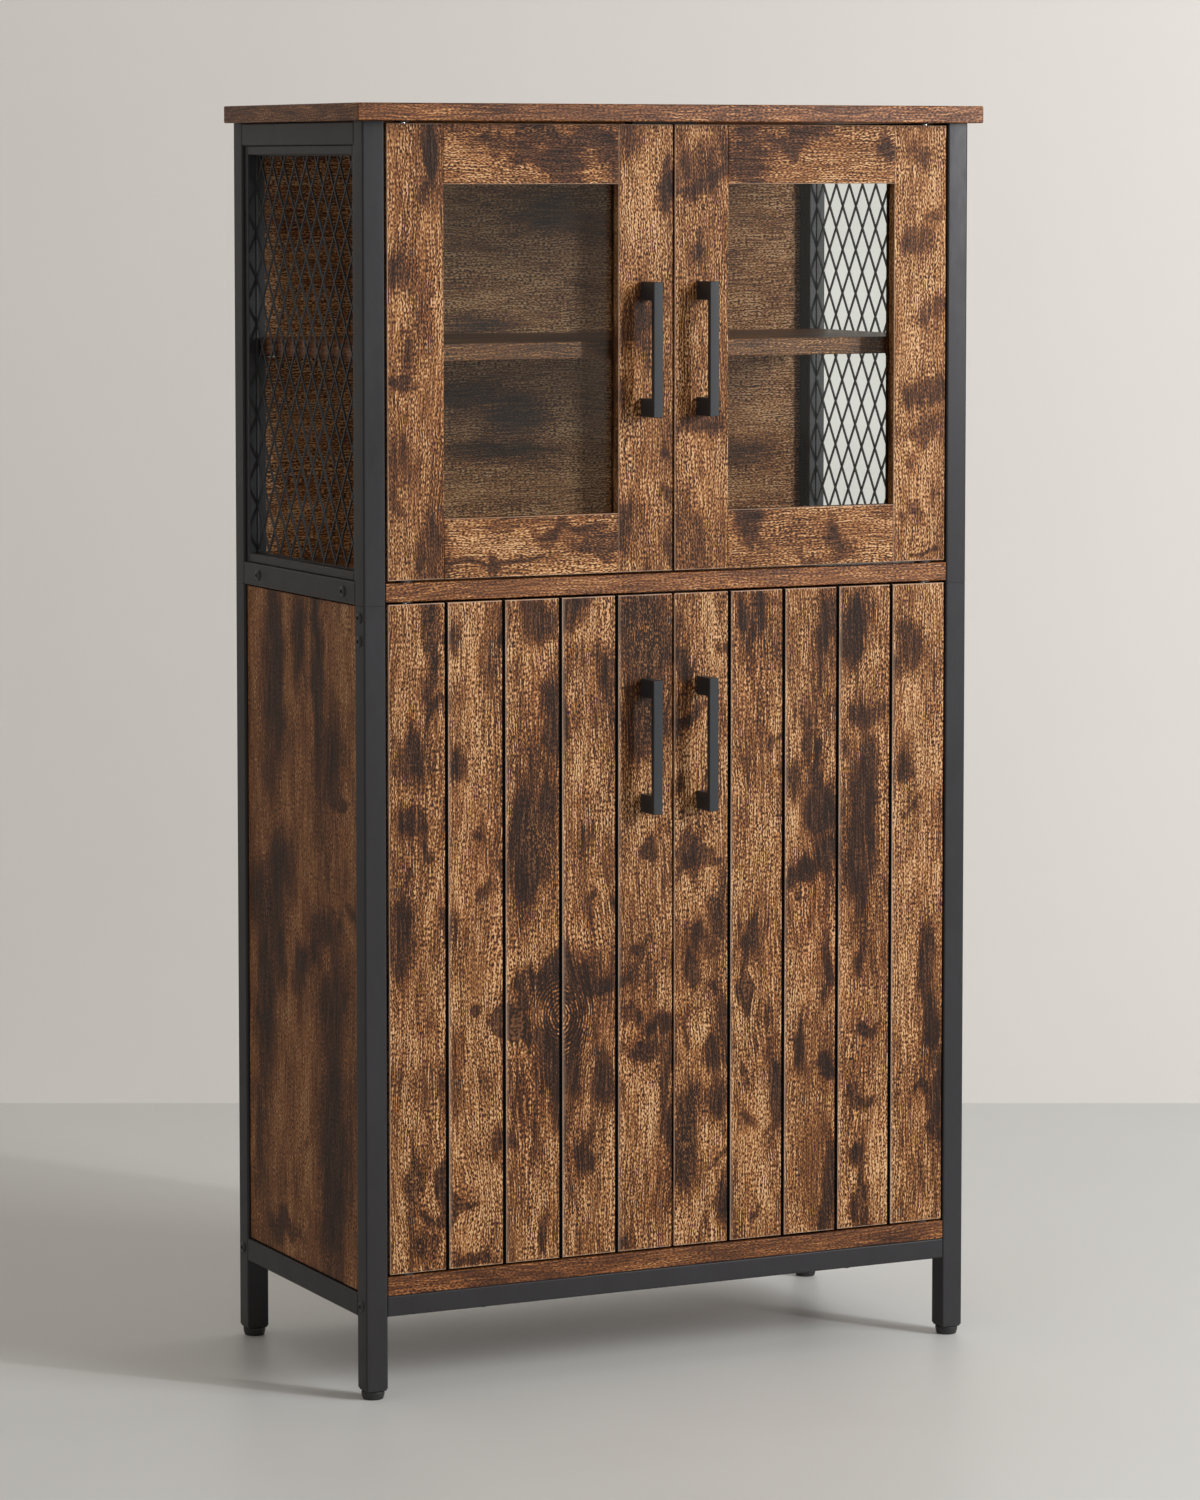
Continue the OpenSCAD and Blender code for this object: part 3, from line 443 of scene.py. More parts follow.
# ------------------------------------------------------------------ the print on the boards
# Marks on the cabinet's front, each (x, z, half width, half height, turn in degrees).
SMOKE = [
    # upper left door
    (-260, 957, 8, 15, -15), (-232, 1060, 4, 24), (-246, 885, 5, 9), (-260, 868, 8, 5), (-248, 909, 3, 3),
    (-228, 722, 11, 22), (-142, 1055, 11, 5), (-105, 1049, 21, 9), (-85, 1069, 8, 7), (-60, 1060, 8, 20),
    (-150, 1069, 44, 6), (-115, 737, 12, 6), (-76, 724, 23, 7), (-172, 706, 5, 7), (-40, 1075, 8, 12),
    (-5, 1026, 6, 9), (-8, 1010, 5, 7), (-10, 1045, 3, 6), (-35, 905, 12, 15), (-48, 850, 4, 11),
    (-38, 738, 12, 20), (-8, 795, 7, 4), (-7, 765, 3, 3), (-5, 722, 5, 12), (-255, 800, 8, 22), (-262, 760, 5, 14),
    # upper right door
    (22, 1050, 13, 16), (40, 1038, 14, 5, 25), (20, 968, 6, 6), (22, 915, 3, 3), (22, 982, 3, 3), (25, 825, 14, 8),
    (16, 728, 15, 26), (70, 1052, 17, 17), (108, 1068, 22, 6), (136, 1074, 10, 5), (210, 1061, 8, 7),
    (75, 735, 12, 12), (163, 716, 10, 9), (130, 706, 12, 5), (256, 1006, 9, 5), (238, 985, 10, 12), (262, 930, 7, 8),
    (247, 915, 7, 12), (240, 850, 10, 10), (258, 845, 10, 8), (245, 815, 15, 8), (232, 785, 4, 6),
    (240, 748, 4, 6), (255, 760, 4, 5), (228, 735, 4, 4), (247, 1060, 10, 8),
    # lower left door
    (-232, 640, 6, 40), (-252, 550, 14, 18), (-248, 490, 14, 13), (-235, 487, 6, 9), (-225, 590, 8, 5),
    (-253, 437, 4, 4), (-235, 465, 5, 4), (-260, 390, 12, 25), (-219, 400, 3, 9), (-218, 650, 4, 5),
    (-245, 185, 6, 25), (-235, 130, 8, 10), (-210, 648, 6, 6), (-166, 645, 4, 5), (-206, 542, 6, 13),
    (-181, 483, 3, 4), (-177, 423, 6, 8), (-165, 445, 5, 8), (-210, 408, 5, 6), (-188, 327, 4, 4),
    (-192, 118, 14, 6), (-165, 215, 5, 13), (-128, 665, 18, 12), (-117, 575, 9, 35), (-140, 470, 11, 48),
    (-122, 500, 8, 22), (-155, 210, 5, 7), (-104, 354, 26, 14, 0, .5), (-130, 358, 14, 8, 0, .35), (-146, 342, 10, 8, 0, .5), (-72, 340, 26, 6, 14, .4),
    (-120, 288, 12, 18, 0, .2), (-92, 274, 8, 28, 0, .1), (-108, 246, 8, 24, 0, .05), (-134, 302, 14, 7, -20, .3), (-95, 668, 12, 10), (-65, 612, 8, 20), (-60, 413, 5, 5), (-80, 415, 3, 4),
    (-86, 198, 6, 12), (-70, 260, 11, 15), (-28, 640, 21, 34), (-28, 568, 16, 22), (-33, 370, 3, 4), (-35, 315, 8, 5),
    (-12, 308, 10, 6), (-32, 287, 15, 9), (-6, 235, 6, 35), (-50, 115, 5, 9), (-125, 130, 5, 14), (-20, 455, 6, 10),
    # lower right door
    (8, 618, 10, 7), (50, 628, 4, 4), (14, 572, 14, 5, 25), (8, 508, 5, 6), (30, 518, 3, 3), (13, 488, 3, 3),
    (33, 609, 3, 3), (12, 436, 10, 6), (45, 408, 8, 22), (27, 375, 8, 9), (18, 345, 7, 11), (37, 330, 2.5, 4),
    (13, 298, 3, 10), (48, 300, 6, 20), (38, 270, 9, 8), (22, 232, 12, 12), (15, 195, 12, 30), (45, 232, 8, 15),
    (45, 155, 8, 15), (31, 125, 3, 5), (67, 655, 5, 20), (85, 663, 6, 17), (77, 622, 3, 15), (95, 547, 2.5, 4),
    (76, 374, 7, 10), (66, 252, 4, 5), (101, 235, 6, 38), (75, 210, 5, 6), (88, 208, 3, 3), (79, 137, 3, 4),
    (152, 657, 10, 22), (131, 550, 6, 22), (120, 515, 10, 12), (145, 520, 6, 15), (148, 490, 12, 12),
    (138, 480, 9, 15), (150, 445, 10, 12), (133, 430, 13, 9), (114, 420, 8, 5, 30), (150, 347, 4, 25), (125, 270, 6, 20),
    (150, 255, 8, 8), (155, 145, 6, 35), (175, 648, 10, 22), (185, 632, 5, 6), (190, 565, 12, 8), (190, 530, 8, 10),
    (187, 470, 12, 70), (185, 355, 5, 12), (190, 285, 10, 5), (190, 228, 12, 5), (180, 168, 6, 8), (187, 130, 6, 35),
    (225, 602, 6, 6), (235, 620, 12, 12), (225, 515, 7, 8), (246, 481, 3, 3), (236, 472, 3, 3), (253, 340, 8, 30),
    (256, 290, 5, 25), (263, 225, 5, 25), (251, 222, 8, 4), (262, 190, 5, 7),
]
# the same with a clean border
CRISP = [
    (-250, 868, 3, 3), (131, 538, 4, 12), (211, 1061, 6, 4), (163, 716, 5, 4), (-190, 326, 4, 4), (96, 547, 2, 5, -35), (104, 550, 2, 4, -35),
]
# marks with a shape of their own: (outline, edge softness in mm, depth)
OUTLINES = [
    ([(-178, 318), (-172, 328), (-160, 333), (-148, 330), (-141, 322), (-138, 312), (-141, 303), (-150, 300), (-162, 302), (-172, 309)], 1.6, 1.0),
    ([(-220, 206), (-215, 196), (-215, 184), (-210, 173), (-196, 166), (-180, 161), (-194, 158), (-205, 155), (-214, 146), (-226, 149),
      (-221, 157), (-225, 168), (-229, 180), (-227, 195)], 1.6, 1.0),
    ([(-249, 212), (-243, 205), (-239, 190), (-241, 172), (-245, 160), (-247, 140), (-248, 106), (-250, 106), (-251, 160), (-256, 178), (-252, 195)], 3.0, 0.55),
    ([(70, 362), (73, 345), (78, 335), (80, 328), (77, 318), (74, 305), (71, 303), (67, 312), (62, 322), (61, 330), (66, 340), (68, 352)], 1.8, 1.0),
    ([(14, 357), (22, 358), (25, 348), (24, 336), (17, 333), (12, 340), (11, 350)], 2.6, 0.85),
    ([(70, 388), (76, 385), (82, 378), (83, 368), (78, 365), (73, 371)], 2.6, 0.85),
    ([(1, 456), (8, 461), (20, 459), (27, 456), (40, 456), (40, 448), (50, 444), (44, 441), (32, 441), (22, 438), (12, 440), (5, 446)], 2.4, 0.5),
    ([(4, 462), (10, 470), (20, 477), (22, 466), (29, 461), (18, 460)], 3.0, 0.75),
    ([(-98, 720), (-85, 726), (-75, 733), (-60, 734), (-50, 730), (-50, 718), (-62, 716), (-75, 714), (-88, 718)], 3.0, 0.7),
    ([(-128, 734), (-112, 742), (-96, 740), (-80, 744), (-60, 740), (-82, 735), (-104, 736), (-118, 730)], 3.0, 0.6),
    ([(-152, 1047), (-143, 1059), (-130, 1061), (-118, 1056), (-96, 1062), (-88, 1054), (-92, 1040), (-104, 1035), (-122, 1042), (-136, 1052)], 4.0, 0.7),
    ([(-102, 1066), (-92, 1078), (-76, 1081), (-58, 1074), (-52, 1066), (-68, 1062), (-84, 1064)], 4.0, 0.65),
    ([(-18, 1030), (-9, 1034), (0, 1030), (0, 1022), (-6, 1019), (-4, 1008), (-9, 1004), (-12, 1016)], 2.6, 0.8),
    ([(12, 1022), (20, 1038), (36, 1044), (52, 1052), (52, 1040), (40, 1036), (26, 1026), (18, 1018)], 6.0, 0.65),
    ([(245, 318), (247, 345), (252, 362), (259, 366), (262, 350), (262, 330), (256, 318), (252, 322)], 4.0, 0.8),
    ([(95, 262), (106, 262), (108, 240), (104, 222), (96, 220), (94, 240)], 4.0, 0.8),
    ([(151, 172), (158, 176), (160, 120), (152, 112), (149, 140)], 3.5, 0.8),
    ([(-146, 500), (-136, 506), (-128, 492), (-122, 480), (-130, 466), (-128, 450), (-132, 424), (-142, 420), (-140, 446), (-150, 470)], 4.5, 0.85),
    ([(-124, 604), (-112, 608), (-108, 590), (-109, 560), (-116, 542), (-126, 556), (-122, 580)], 4.5, 0.75),
]
# cracks and thin strokes: (x0, z0, x1, z1, half width)
CRACKS = [
    (-268, 868, -254, 861, 1.5), (-254, 861, -243, 861, 1.6), (-213, 711, -200, 715, 1.6), (-200, 715, -186, 713, 1.5), (-186, 713, -174, 708, 1.4),
    (-174, 718, -170, 702, 2.2), (-164, 712, -142, 711, 1.5), (-142, 711, -124, 717, 1.4), (5, 1025, 30, 1034, 2.0), (235, 703, 262, 709, 1.5),
    (-214, 147, -228, 149, 3.0), (-228, 149, -240, 160, 3.0), (-240, 160, -246, 176, 2.6), (0, 566, 16, 571, 2.2), (16, 571, 32, 583, 1.6),
    (35, 172, 52, 187, 1.6), (-150, 312, -139, 315, 1.0), (120, 424, 132, 421, 1.5), (113, 418, 121, 424, 1.4), (121, 405, 131, 404, 1.3),
]
# brightness of the print, with a painted sheen on the right upper door's outer stile: (x, z, half width, half height,
# how much)
TONE = [
    (-223, 910, 5, 32, .16), (-234, 920, 7, 22, -.10), (-232, 1040, 9, 40, -.16), (-205, 1058, 12, 18, .15),
    (-205, 741, 9, 4, .25), (-160, 727, 34, 9, .16), (-28, 1020, 9, 42, .20), (-17, 772, 4, 30, .18),
    # (245, 1040, ...) and (245, 880, ...) are painted sheen on the right upper door's outer stile, stronger at its top
    (-255, 920, 10, 30, .12), (33, 748, 6, 44, .18), (140, 740, 40, 8, .12), (245, 1040, 22, 60, .13), (245, 880, 30, 150, .13), (-150, 1056, 60, 14, -.07), (-135, 724, 90, 20, .06),
    (-189, 625, 8, 28, .24), (-168, 370, 5, 32, .22), (-193, 258, 9, 34, .18), (-198, 140, 15, 17, .20),
    (-140, 640, 12, 22, .12), (-225, 330, 9, 80, .12), (-45, 230, 12, 32, .12), (-52, 480, 12, 60, .03),
    (10, 295, 11, 36, .14), (40, 200, 13, 16, .16), (35, 150, 4, 20, .16), (42, 470, 12, 18, .14),
    (78, 200, 14, 42, .18), (200, 610, 10, 13, .14), (192, 235, 9, 11, .14), (243, 520, 18, 80, .10),
    (176, 190, 4, 16, .14), (20, 530, 16, 30, .12), (90, 460, 14, 60, .02), (138, 185, 17, 62, -.08),
    (-60, 340, 60, 50, -.08), (-112, 318, 32, 32, -.16), (-108, 265, 26, 45, -.12), (138, 380, 22, 36, -.12), (-255, 440, 12, 60, -.04),
    (-90, 600, 16, 50, -.06), (185, 320, 22, 90, -.06), (250, 200, 14, 60, -.05), (-28, 600, 28, 70, -.14),
    (-250, 620, 14, 44, -.08), (-135, 540, 22, 90, -.08), (85, 640, 22, 32, -.10), (160, 560, 30, 90, -.10),
]
RED = [
    (-233, 920, 7, 22, .6), (-40, 560, 11, 22, .7), (-12, 160, 9, 22, .6), (-245, 330, 16, 60, .35), (140, 380, 25, 60, .6),
    (-120, 600, 25, 60, .3), (-190, 450, 22, 60, .45), (60, 590, 30, 40, .3), (190, 330, 24, 90, .35), (-60, 320, 40, 40, .5),
    (250, 400, 16, 90, .2), (-150, 230, 20, 60, .4),
]
CALM = [
    (-160, 727, 32, 9, .8), (-28, 1020, 9, 42, .5), (-168, 370, 6, 34, .8), (-198, 140, 15, 17, .85),
    (-189, 625, 8, 26, .4), (78, 200, 14, 42, .55), (-195, 345, 10, 40, .7), (-17, 772, 4, 30, .5),
    # (248, 890, ...) flattens the grain under the painted sheen on the right upper door's outer stile
    (248, 890, 26, 200, .3), (-160, 734, 70, 18, .25), (33, 748, 6, 44, .6), (138, 185, 17, 62, .45), (10, 295, 11, 36, .4), (-140, 640, 12, 22, .3),
]
FLECKS = [
    (-28, 640, 20, 32, .8), (-28, 568, 14, 18, .7), (-125, 465, 9, 24, .8), (-245, 185, 8, 25, .8),
    (-76, 724, 22, 7, .8), (16, 728, 14, 24, .5), (-235, 130, 9, 12, .7), (-225, 850, 4, 30, .7), (-204, 741, 9, 4, .9),
    (22, 232, 12, 12, .6), (15, 195, 10, 24, .6), (-150, 1069, 40, 6, .6), (40, 200, 13, 14, .8), (45, 408, 8, 20, .5),
    (120, 515, 9, 10, .5), (-232, 640, 6, 36, .4), (190, 530, 8, 12, .4),
]
# knots: (x, z, how far the grain flows round it, ring weight, ring reach)
KNOTS = [
    (-109, 318, 24, 0.8, 34), (-152, 317, 15, 0.15, 20), (-32, 287, 9, 0.2, 14), (22, 455, 13, 0.12, 24),
    (163, 716, 9, 0.2, 14), (210, 1061, 8, 0.2, 12), (71, 330, 8, 0.1, 12), (126, 412, 8, 0.3, 14),
    (-172, 706, 6, 0.2, 10), (-205, 165, 11, 0.2, 18), (-188, 327, 5, 0.0, 8),
]
# Marks on the left side panel, each (y, z, ...).
SIDE_SMOKE = [
    (75, 545, 18, 32), (107, 590, 8, 90), (206, 600, 16, 82), (200, 430, 25, 25), (226, 400, 30, 26), (228, 330, 16, 60),
    (200, 365, 15, 25), (150, 350, 15, 15), (95, 390, 22, 15), (75, 330, 25, 40), (115, 372, 8, 8), (50, 342, 10, 4),
    (32, 415, 8, 6), (68, 405, 6, 4), (75, 215, 24, 110), (240, 290, 10, 10), (135, 197, 5, 5), (185, 115, 25, 8),
    (150, 640, 12, 30), (245, 180, 10, 40),
]
SIDE_CRISP = [(62, 504, 20, 6), (62, 505, 9, 9), (226, 398, 16, 14)]
SIDE_TONE = [(45, 590, 15, 90, .14), (130, 235, 30, 75, .12), (150, 480, 24, 60, .05), (180, 240, 20, 60, .04), (75, 215, 30, 110, -.10)]
SIDE_RED = [(130, 400, 120, 300, .3)]
# Marks on the upper back panel, (x, z, ...) as they lie on the panel.
BACK_SMOKE = [(-60, 905, 30, 9), (10, 1005, 34, 14), (-20, 820, 24, 16), (-80, 842, 34, 12), (-40, 790, 60, 7), (150, 960, 40, 12), (190, 780, 50, 12)]


def lattice(ix, iz, seed):
    h = (ix * 374761393 + iz * 668265263 + seed * 974711) & 0xFFFFFFFF
    h = ((h ^ (h >> 13)) * 1274126177) & 0xFFFFFFFF
    return ((h ^ (h >> 16)) & 0xFFFF) / 65535.0 - 0.5


def wave(p, sx, sz, seed):
    """Smooth noise from -0.5 to 0.5 at points p, with cells sx by sz."""
    a, b = p[:, 0] / sx, p[:, 1] / sz
    ia, ib = np.floor(a).astype(np.int64), np.floor(b).astype(np.int64)
    fa, fb = a - ia, b - ib
    fa, fb = fa * fa * (3 - 2 * fa), fb * fb * (3 - 2 * fb)
    v = [lattice(ia + i, ib + j, seed) for j in (0, 1) for i in (0, 1)]
    return (v[0] * (1 - fa) + v[1] * fa) * (1 - fb) + (v[2] * (1 - fa) + v[3] * fa) * fb


def stray(p, amount=1.0):
    """Points moved a little, so that marks drawn there get uneven outlines."""
    dx = 12 * wave(p, 15, 30, 1) + 7 * wave(p, 6, 10, 2)
    dz = 22 * wave(p, 13, 32, 3) + 11 * wave(p, 5, 11, 4)
    return p + np.stack([dx, dz], 1) * amount


def spots(p, items, gain=1.0):
    out = np.full(len(p), -9.0)
    for it in items:
        c, s = (math.cos(math.radians(it[4])), math.sin(math.radians(it[4]))) if len(it) > 4 else (1.0, 0.0)
        dx, dz = p[:, 0] - it[0], p[:, 1] - it[1]
        rho = np.hypot((dx * c + dz * s) / it[2], (dz * c - dx * s) / it[3])
        top = it[5] if len(it) > 5 else (0.05 + 0.7 * min(1.0, math.sqrt(it[2] * it[3]) / 17) if gain == 1.0 else 1.0)
        out = np.maximum(out, np.minimum((1 - rho) * gain, top))
    return out


def shapes(p, items):
    """How deep each point lies inside an outline, over its softness; negative outside."""
    out = np.full(len(p), -9.0)
    for outline, soft, depth in items:
        o = np.array(outline, float)
        near = np.where(((p > o.min(0) - 3 * soft) & (p < o.max(0) + 3 * soft)).all(1))[0]
        if not len(near):
            continue
        q = p[near]
        dist, inside = np.full(len(q), 1e9), np.zeros(len(q), bool)
        for a, b in zip(o, np.roll(o, -1, 0)):
            d = b - a
            k = np.clip(((q - a) @ d) / (d @ d), 0, 1)
            dist = np.minimum(dist, np.linalg.norm(q - a - k[:, None] * d, axis=1))
            cut = (a[1] > q[:, 1]) != (b[1] > q[:, 1])
            inside ^= cut & (q[:, 0] < a[0] + (q[:, 1] - a[1]) * d[0] / (d[1] if d[1] else 1e-9))
        f = np.where(inside, dist, -dist) / soft
        out[near] = np.maximum(out[near], np.minimum(f, depth))
    return out


def strokes(p, items):
    out = np.full(len(p), -9.0)
    for x0, z0, x1, z1, w in items:
        a, d = np.array([x0, z0]), np.array([x1 - x0, z1 - z0])
        k = np.clip(((p - a) @ d) / (d @ d), 0, 1)
        out = np.maximum(out, 1 - np.linalg.norm(p - a - k[:, None] * d, axis=1) / w)
    return out


def glow(p, items):
    out = np.zeros(len(p))
    for x, z, rx, rz, amount in items:
        out += amount * np.exp(-((p[:, 0] - x) / rx) ** 2 - ((p[:, 1] - z) / rz) ** 2)
    return out


def flow(p, knots):
    """Moves the grain aside round the knots, and gives the ring radius and weight."""
    dx = np.zeros(len(p))
    rr, rw = np.zeros(len(p)), np.zeros(len(p))
    for x, z, size, weight, reach in knots:
        ex, ez = p[:, 0] - x, (p[:, 1] - z) / 1.35
        r2 = ex ** 2 + ez ** 2
        dx -= ex * size ** 2 / (r2 + size ** 2) * 0.8
        r = np.sqrt(r2)
        w = weight * np.clip(1.3 - r / reach, 0, 1)
        rr = np.where(w > rw, r, rr)
        rw = np.maximum(rw, w)
    return dx, rr, rw


def print_of(p2, kind):
    """The fields of the print at points (across, up) of the front, a side or the back."""
    n = len(p2)
    if kind == "front":
        q2 = stray(p2)
        near = stray(p2, 0.22)
        soft = spots(q2, SMOKE)
        soft = np.minimum(soft, np.where(p2[:, 1] > 690, 0.08, np.where(p2[:, 0] > 60, 0.32, 0.75)))
        smoke = np.maximum(np.maximum(soft, spots(near, CRISP, 3.2)), shapes(near, OUTLINES))
        tails = np.clip(spots(q2, [(a[0], a[1], a[2] * 1.15, a[3] * 2.4) for a in SMOKE]), 0, 1)
        smoke = np.maximum(smoke, np.minimum(strokes(stray(p2, 0.15), CRACKS), 0.75))
        # tone carries the print's brightness and the painted sheen listed in TONE
        tone, red, calm, fleck = (glow(q2, a) for a in (TONE, RED, CALM, FLECKS))
        calm = np.where(p2[:, 1] > 690, np.maximum(calm, 0.3), calm)
        tone = tone - np.where(p2[:, 1] > 690, 0.05, 0.2) * tails
        dx, rr, rw = flow(p2, KNOTS)
    elif kind == "side":
        q2 = stray(p2)
        smoke = np.maximum(spots(q2, SIDE_SMOKE), spots(stray(p2, 0.25), SIDE_CRISP, 3.0))
        tone, red, calm = glow(p2, SIDE_TONE), glow(p2, SIDE_RED), np.full(n, 0.15)
        fleck = np.zeros(n)
        dx, rr, rw = flow(p2, [(62, 504, 10, 0.2, 16), (226, 398, 14, 0.3, 26)])
    elif kind == "back":
        smoke = spots(p2, BACK_SMOKE)
        tone, red, calm, fleck = (np.zeros(n) for _ in range(4))
        dx, rr, rw = (np.zeros(n) for _ in range(3))
    else:
        smoke = np.full(n, -1.1)
        tone, red, calm, fleck, dx, rr, rw = (np.zeros(n) for _ in range(7))
    floor = -1.0 if kind == "back" else -1.6
    return np.clip(smoke, floor, 1.6), tone, red, np.clip(calm, 0, .9), np.clip(fleck, 0, 1), dx, rr, rw


def board(name, x, y, z, r, grain, kind, slot, seed, steps, extra=((), (), ()), shape=None, tone=0.0, arris_highlight=None, ink=None, face_side=2):
    """A laminate board. grain is 'x' or 'z'; kind says which print lies on the side face_side."""
    v, quads, nrm, side = grid_box(x, y, z, r, steps, extra)
    flat = v.copy()
    edges = np.zeros((len(v), 3))
    if shape:
        v, nrm, ink_v, arris_highlight_v = shape(v, nrm)
        edges[:, 0], edges[:, 2] = ink_v, arris_highlight_v
    ax = {0: 1, 1: 1, 2: 0, 3: 0}.get(face_side, 0)
    seen = np.zeros(len(v), bool)
    lo, hi = v.min(0), v.max(0)
    mid = (lo + hi) / 2
    seen = {2: flat[:, 1] < mid[1], 3: flat[:, 1] > mid[1], 0: flat[:, 0] < mid[0], 1: flat[:, 0] > mid[0]}[face_side]
    p2 = flat[:, [ax, 2]]
    a = print_of(p2, kind)
    b = print_of(p2, "plain")
    smoke, tn, red, calm, fleck, dx, rr, rw = (np.where(seen, i, j) for i, j in zip(a, b))
    # painted highlight on the front arrises, kept in edges[:, 2]
    if arris_highlight is not None:
        edges[:, 2] = np.maximum(edges[:, 2], arris_highlight(flat, nrm))
    edges[:, 1] = calm
    if ink is not None:
        edges[:, 0] = np.maximum(edges[:, 0], ink(flat, nrm))
    # faint smoky patches on the broad faces that the photographed prints don't cover
    if grain == "x":
        along, over, broad = flat[:, 0], flat[:, 1] * 1.3 + flat[:, 2], np.abs(nrm[:, 2]) > 0.7
        broad |= (hi[2] - lo[2] > 100) & (kind != "back")
    else:
        along, over, broad = flat[:, 2], flat[:, 0] + flat[:, 1] * 1.3, ~seen & (np.abs(nrm[:, 2]) < 0.7)
    w = np.stack([over + seed * 331.0, along + seed * 719.0], 1)
    drift = -0.95 + 2.3 * (wave(w, 30, 95, 5) + 0.45 * wave(w, 12, 34, 6))
    smoke = np.where(broad, np.maximum(smoke, np.minimum(drift, 0.5)), smoke)
    marks = np.stack([smoke, tn + tone, red], 1)
    lines = np.stack([fleck, rr, rw], 1)
    # grain coordinates at the corners: each side has its own piece of the print
    q = flat[quads]                                     # quads x 4 x 3
    shift = dx[quads]
    g = np.zeros(q.shape)
    for k in range(6):
        s = side == k
        X, Y, Z = q[s, :, 0], q[s, :, 1], q[s, :, 2]
        if grain == "z":
            across, along = [(Y, Z), (Y, Z), (X, Z), (X, Z), (Y, X), (Y, X)][k]
        else:
            across, along = [(Z, Y), (Z, Y), (Z, X), (Z, X), (Y, X), (Y, X)][k]
        own = 0 if k == face_side else (k + 1) * 137.0
        g[s, :, 0] = across + own + seed * 613.0
        g[s, :, 1] = along + own * 2.0 + seed * 1171.0
    if grain == "z":
        g[..., 0] += np.where((side == face_side)[:, None], shift, 0.0)
    else:
        g[..., 0] += np.where((side == face_side)[:, None], shift * 0.5, 0.0)
    fields = {"grain": ("CORNER", g.reshape(-1, 3)), "marks": ("POINT", marks), "lines": ("POINT", lines), "edges": ("POINT", edges)}
    return make(name, v, quads, nrm[quads].reshape(-1, 3), name, slot, fields)


# ------------------------------------------------------------------ boards
S = 2.5
board("top_panel", (-300, 300), (-12, 288), (1085, 1100), 1.2, "x", "plain", "board_laminate", 1, (6, 6, 3), tone=0.02)
board("middle_panel", (-270.97, 270.97), (0, 288), (681, 697), 0.9, "x", "plain", "board_laminate", 2, (6, 6, 3), tone=0.04)
board("bottom_panel", (-270.97, 270.97), (0, 288), (89, 105), 0.9, "x", "plain", "board_laminate", 3, (6, 6, 3), tone=-0.02)
board("upper_shelf", (-278.5, 278.5), (29, 256), (882, 897), 0.9, "x", "plain", "board_laminate", 4, (6, 6, 3), tone=-0.02)
board("lower_shelf", (-270.97, 270.97), (32, 272), (385, 400), 0.9, "x", "plain", "board_laminate", 5, (6, 6, 3))
board("upper_back_panel", (-270.5, 270.5), (274.5, 286.5), (697.5, 1084.5), 0.5, "x", "back", "back_laminate", 6, (5, None, 5), tone=-0.05)
board("lower_back_panel", (-270.5, 270.5), (274.5, 286.5), (105.5, 680.5), 0.5, "x", "plain", "back_laminate", 7, (8, None, 8), tone=-0.05)
for sx, nm, fs in ((-1, "left", 0), (1, "right", 1)):
    a, b = sorted((sx * 288.5, sx * 273.5))
    board("side_panel_" + nm, (a, b), (21.5, 266.5), (91, 677), 0.6, "z", "side", "side_laminate", 8 + (sx > 0),
          (None, 3, 3), face_side=fs)


def rebated(glass_edge, sign, zr):
    """The back of a stile or rail is cut away by 5 mm where the pane lies. sign says on which side of
    glass_edge the cut is; zr is its range up and down, or None for a rail."""
    def shape(v, n):
        v = v.copy()
        d = np.ones(len(v))
        if zr:
            cut = ((v[:, 0] - glass_edge) * sign > 0) & (v[:, 2] > zr[0]) & (v[:, 2] < zr[1])
        else:
            cut = (v[:, 2] - glass_edge) * sign > 0
        v[cut, 1] *= 10.0 / 15.0
        return v, n, np.zeros(len(v)), np.zeros(len(v))
    return shape


# Painted highlight: the front arrises on the chosen sides are marked to be drawn lighter, as if they caught the light.
def frame_arris_highlight(left=False, right=False, top=False, bottom=False):
    def arris_highlight(v, n):
        w = np.zeros(len(v))
        front = v[:, 1] < 1.2
        for on, k, s in ((left, 0, -1), (right, 0, 1), (bottom, 2, -1), (top, 2, 1)):
            if on:
                w = np.maximum(w, np.where(front & (n[:, k] * s > 0.3) & (n[:, 1] < -0.2), 0.8, 0.0))
        return w
    return arris_highlight


D = (0.0, 15.0)
for side, nm in ((-1, "upper_left_"), (1, "upper_right_")):
    a, b = sorted((side * 269, side * 217))
    ge = side * 223                              # where the rebate begins
    board(nm + "outer_stile", (a, b), D, (699, 1083), 0.9, "z", "front", "door_laminate", 10 + (side > 0), (S, None, S),
          extra=((ge - 0.02, ge + 0.02), (), (743.98, 744.02, 1037.98, 1038.02)), shape=rebated(ge, -side, (744, 1038)),
          arris_highlight=frame_arris_highlight(left=True, top=True, bottom=True))
    a, b = sorted((side * 53, side * 1))
    ge = side * 47
    board(nm + "inner_stile", (a, b), D, (699, 1083), 0.9, "z", "front", "door_laminate", 12 + (side > 0), (S, None, S),
          extra=((ge - 0.02, ge + 0.02), (), (743.98, 744.02, 1037.98, 1038.02)), shape=rebated(ge, side, (744, 1038)),
          arris_highlight=frame_arris_highlight(left=True, top=True, bottom=True))
    a, b = sorted((side * 217, side * 53))
    board(nm + "top_rail", (a, b), D, (1032, 1083), 0.6, "x", "front", "door_laminate", 14 + (side > 0), (S, None, S),
          extra=((), (), (1037.98, 1038.02)), shape=rebated(1038, -1, None), arris_highlight=frame_arris_highlight(top=True, bottom=True))
    board(nm + "bottom_rail", (a, b), D, (699, 750), 0.6, "x", "front", "door_laminate", 16 + (side > 0), (S, None, S),
          extra=((), (), (743.98, 744.02)), shape=rebated(744, 1, None), arris_highlight=frame_arris_highlight(top=True, bottom=True))

GROOVE = np.array([(-2.5, 0.0), (-1.85, 0.06), (-1.5, 0.35), (-1.15, 0.95), (-0.5, 2.6), (0.5, 2.6), (1.15, 0.95), (1.5, 0.35), (1.85, 0.06), (2.5, 0.0)])


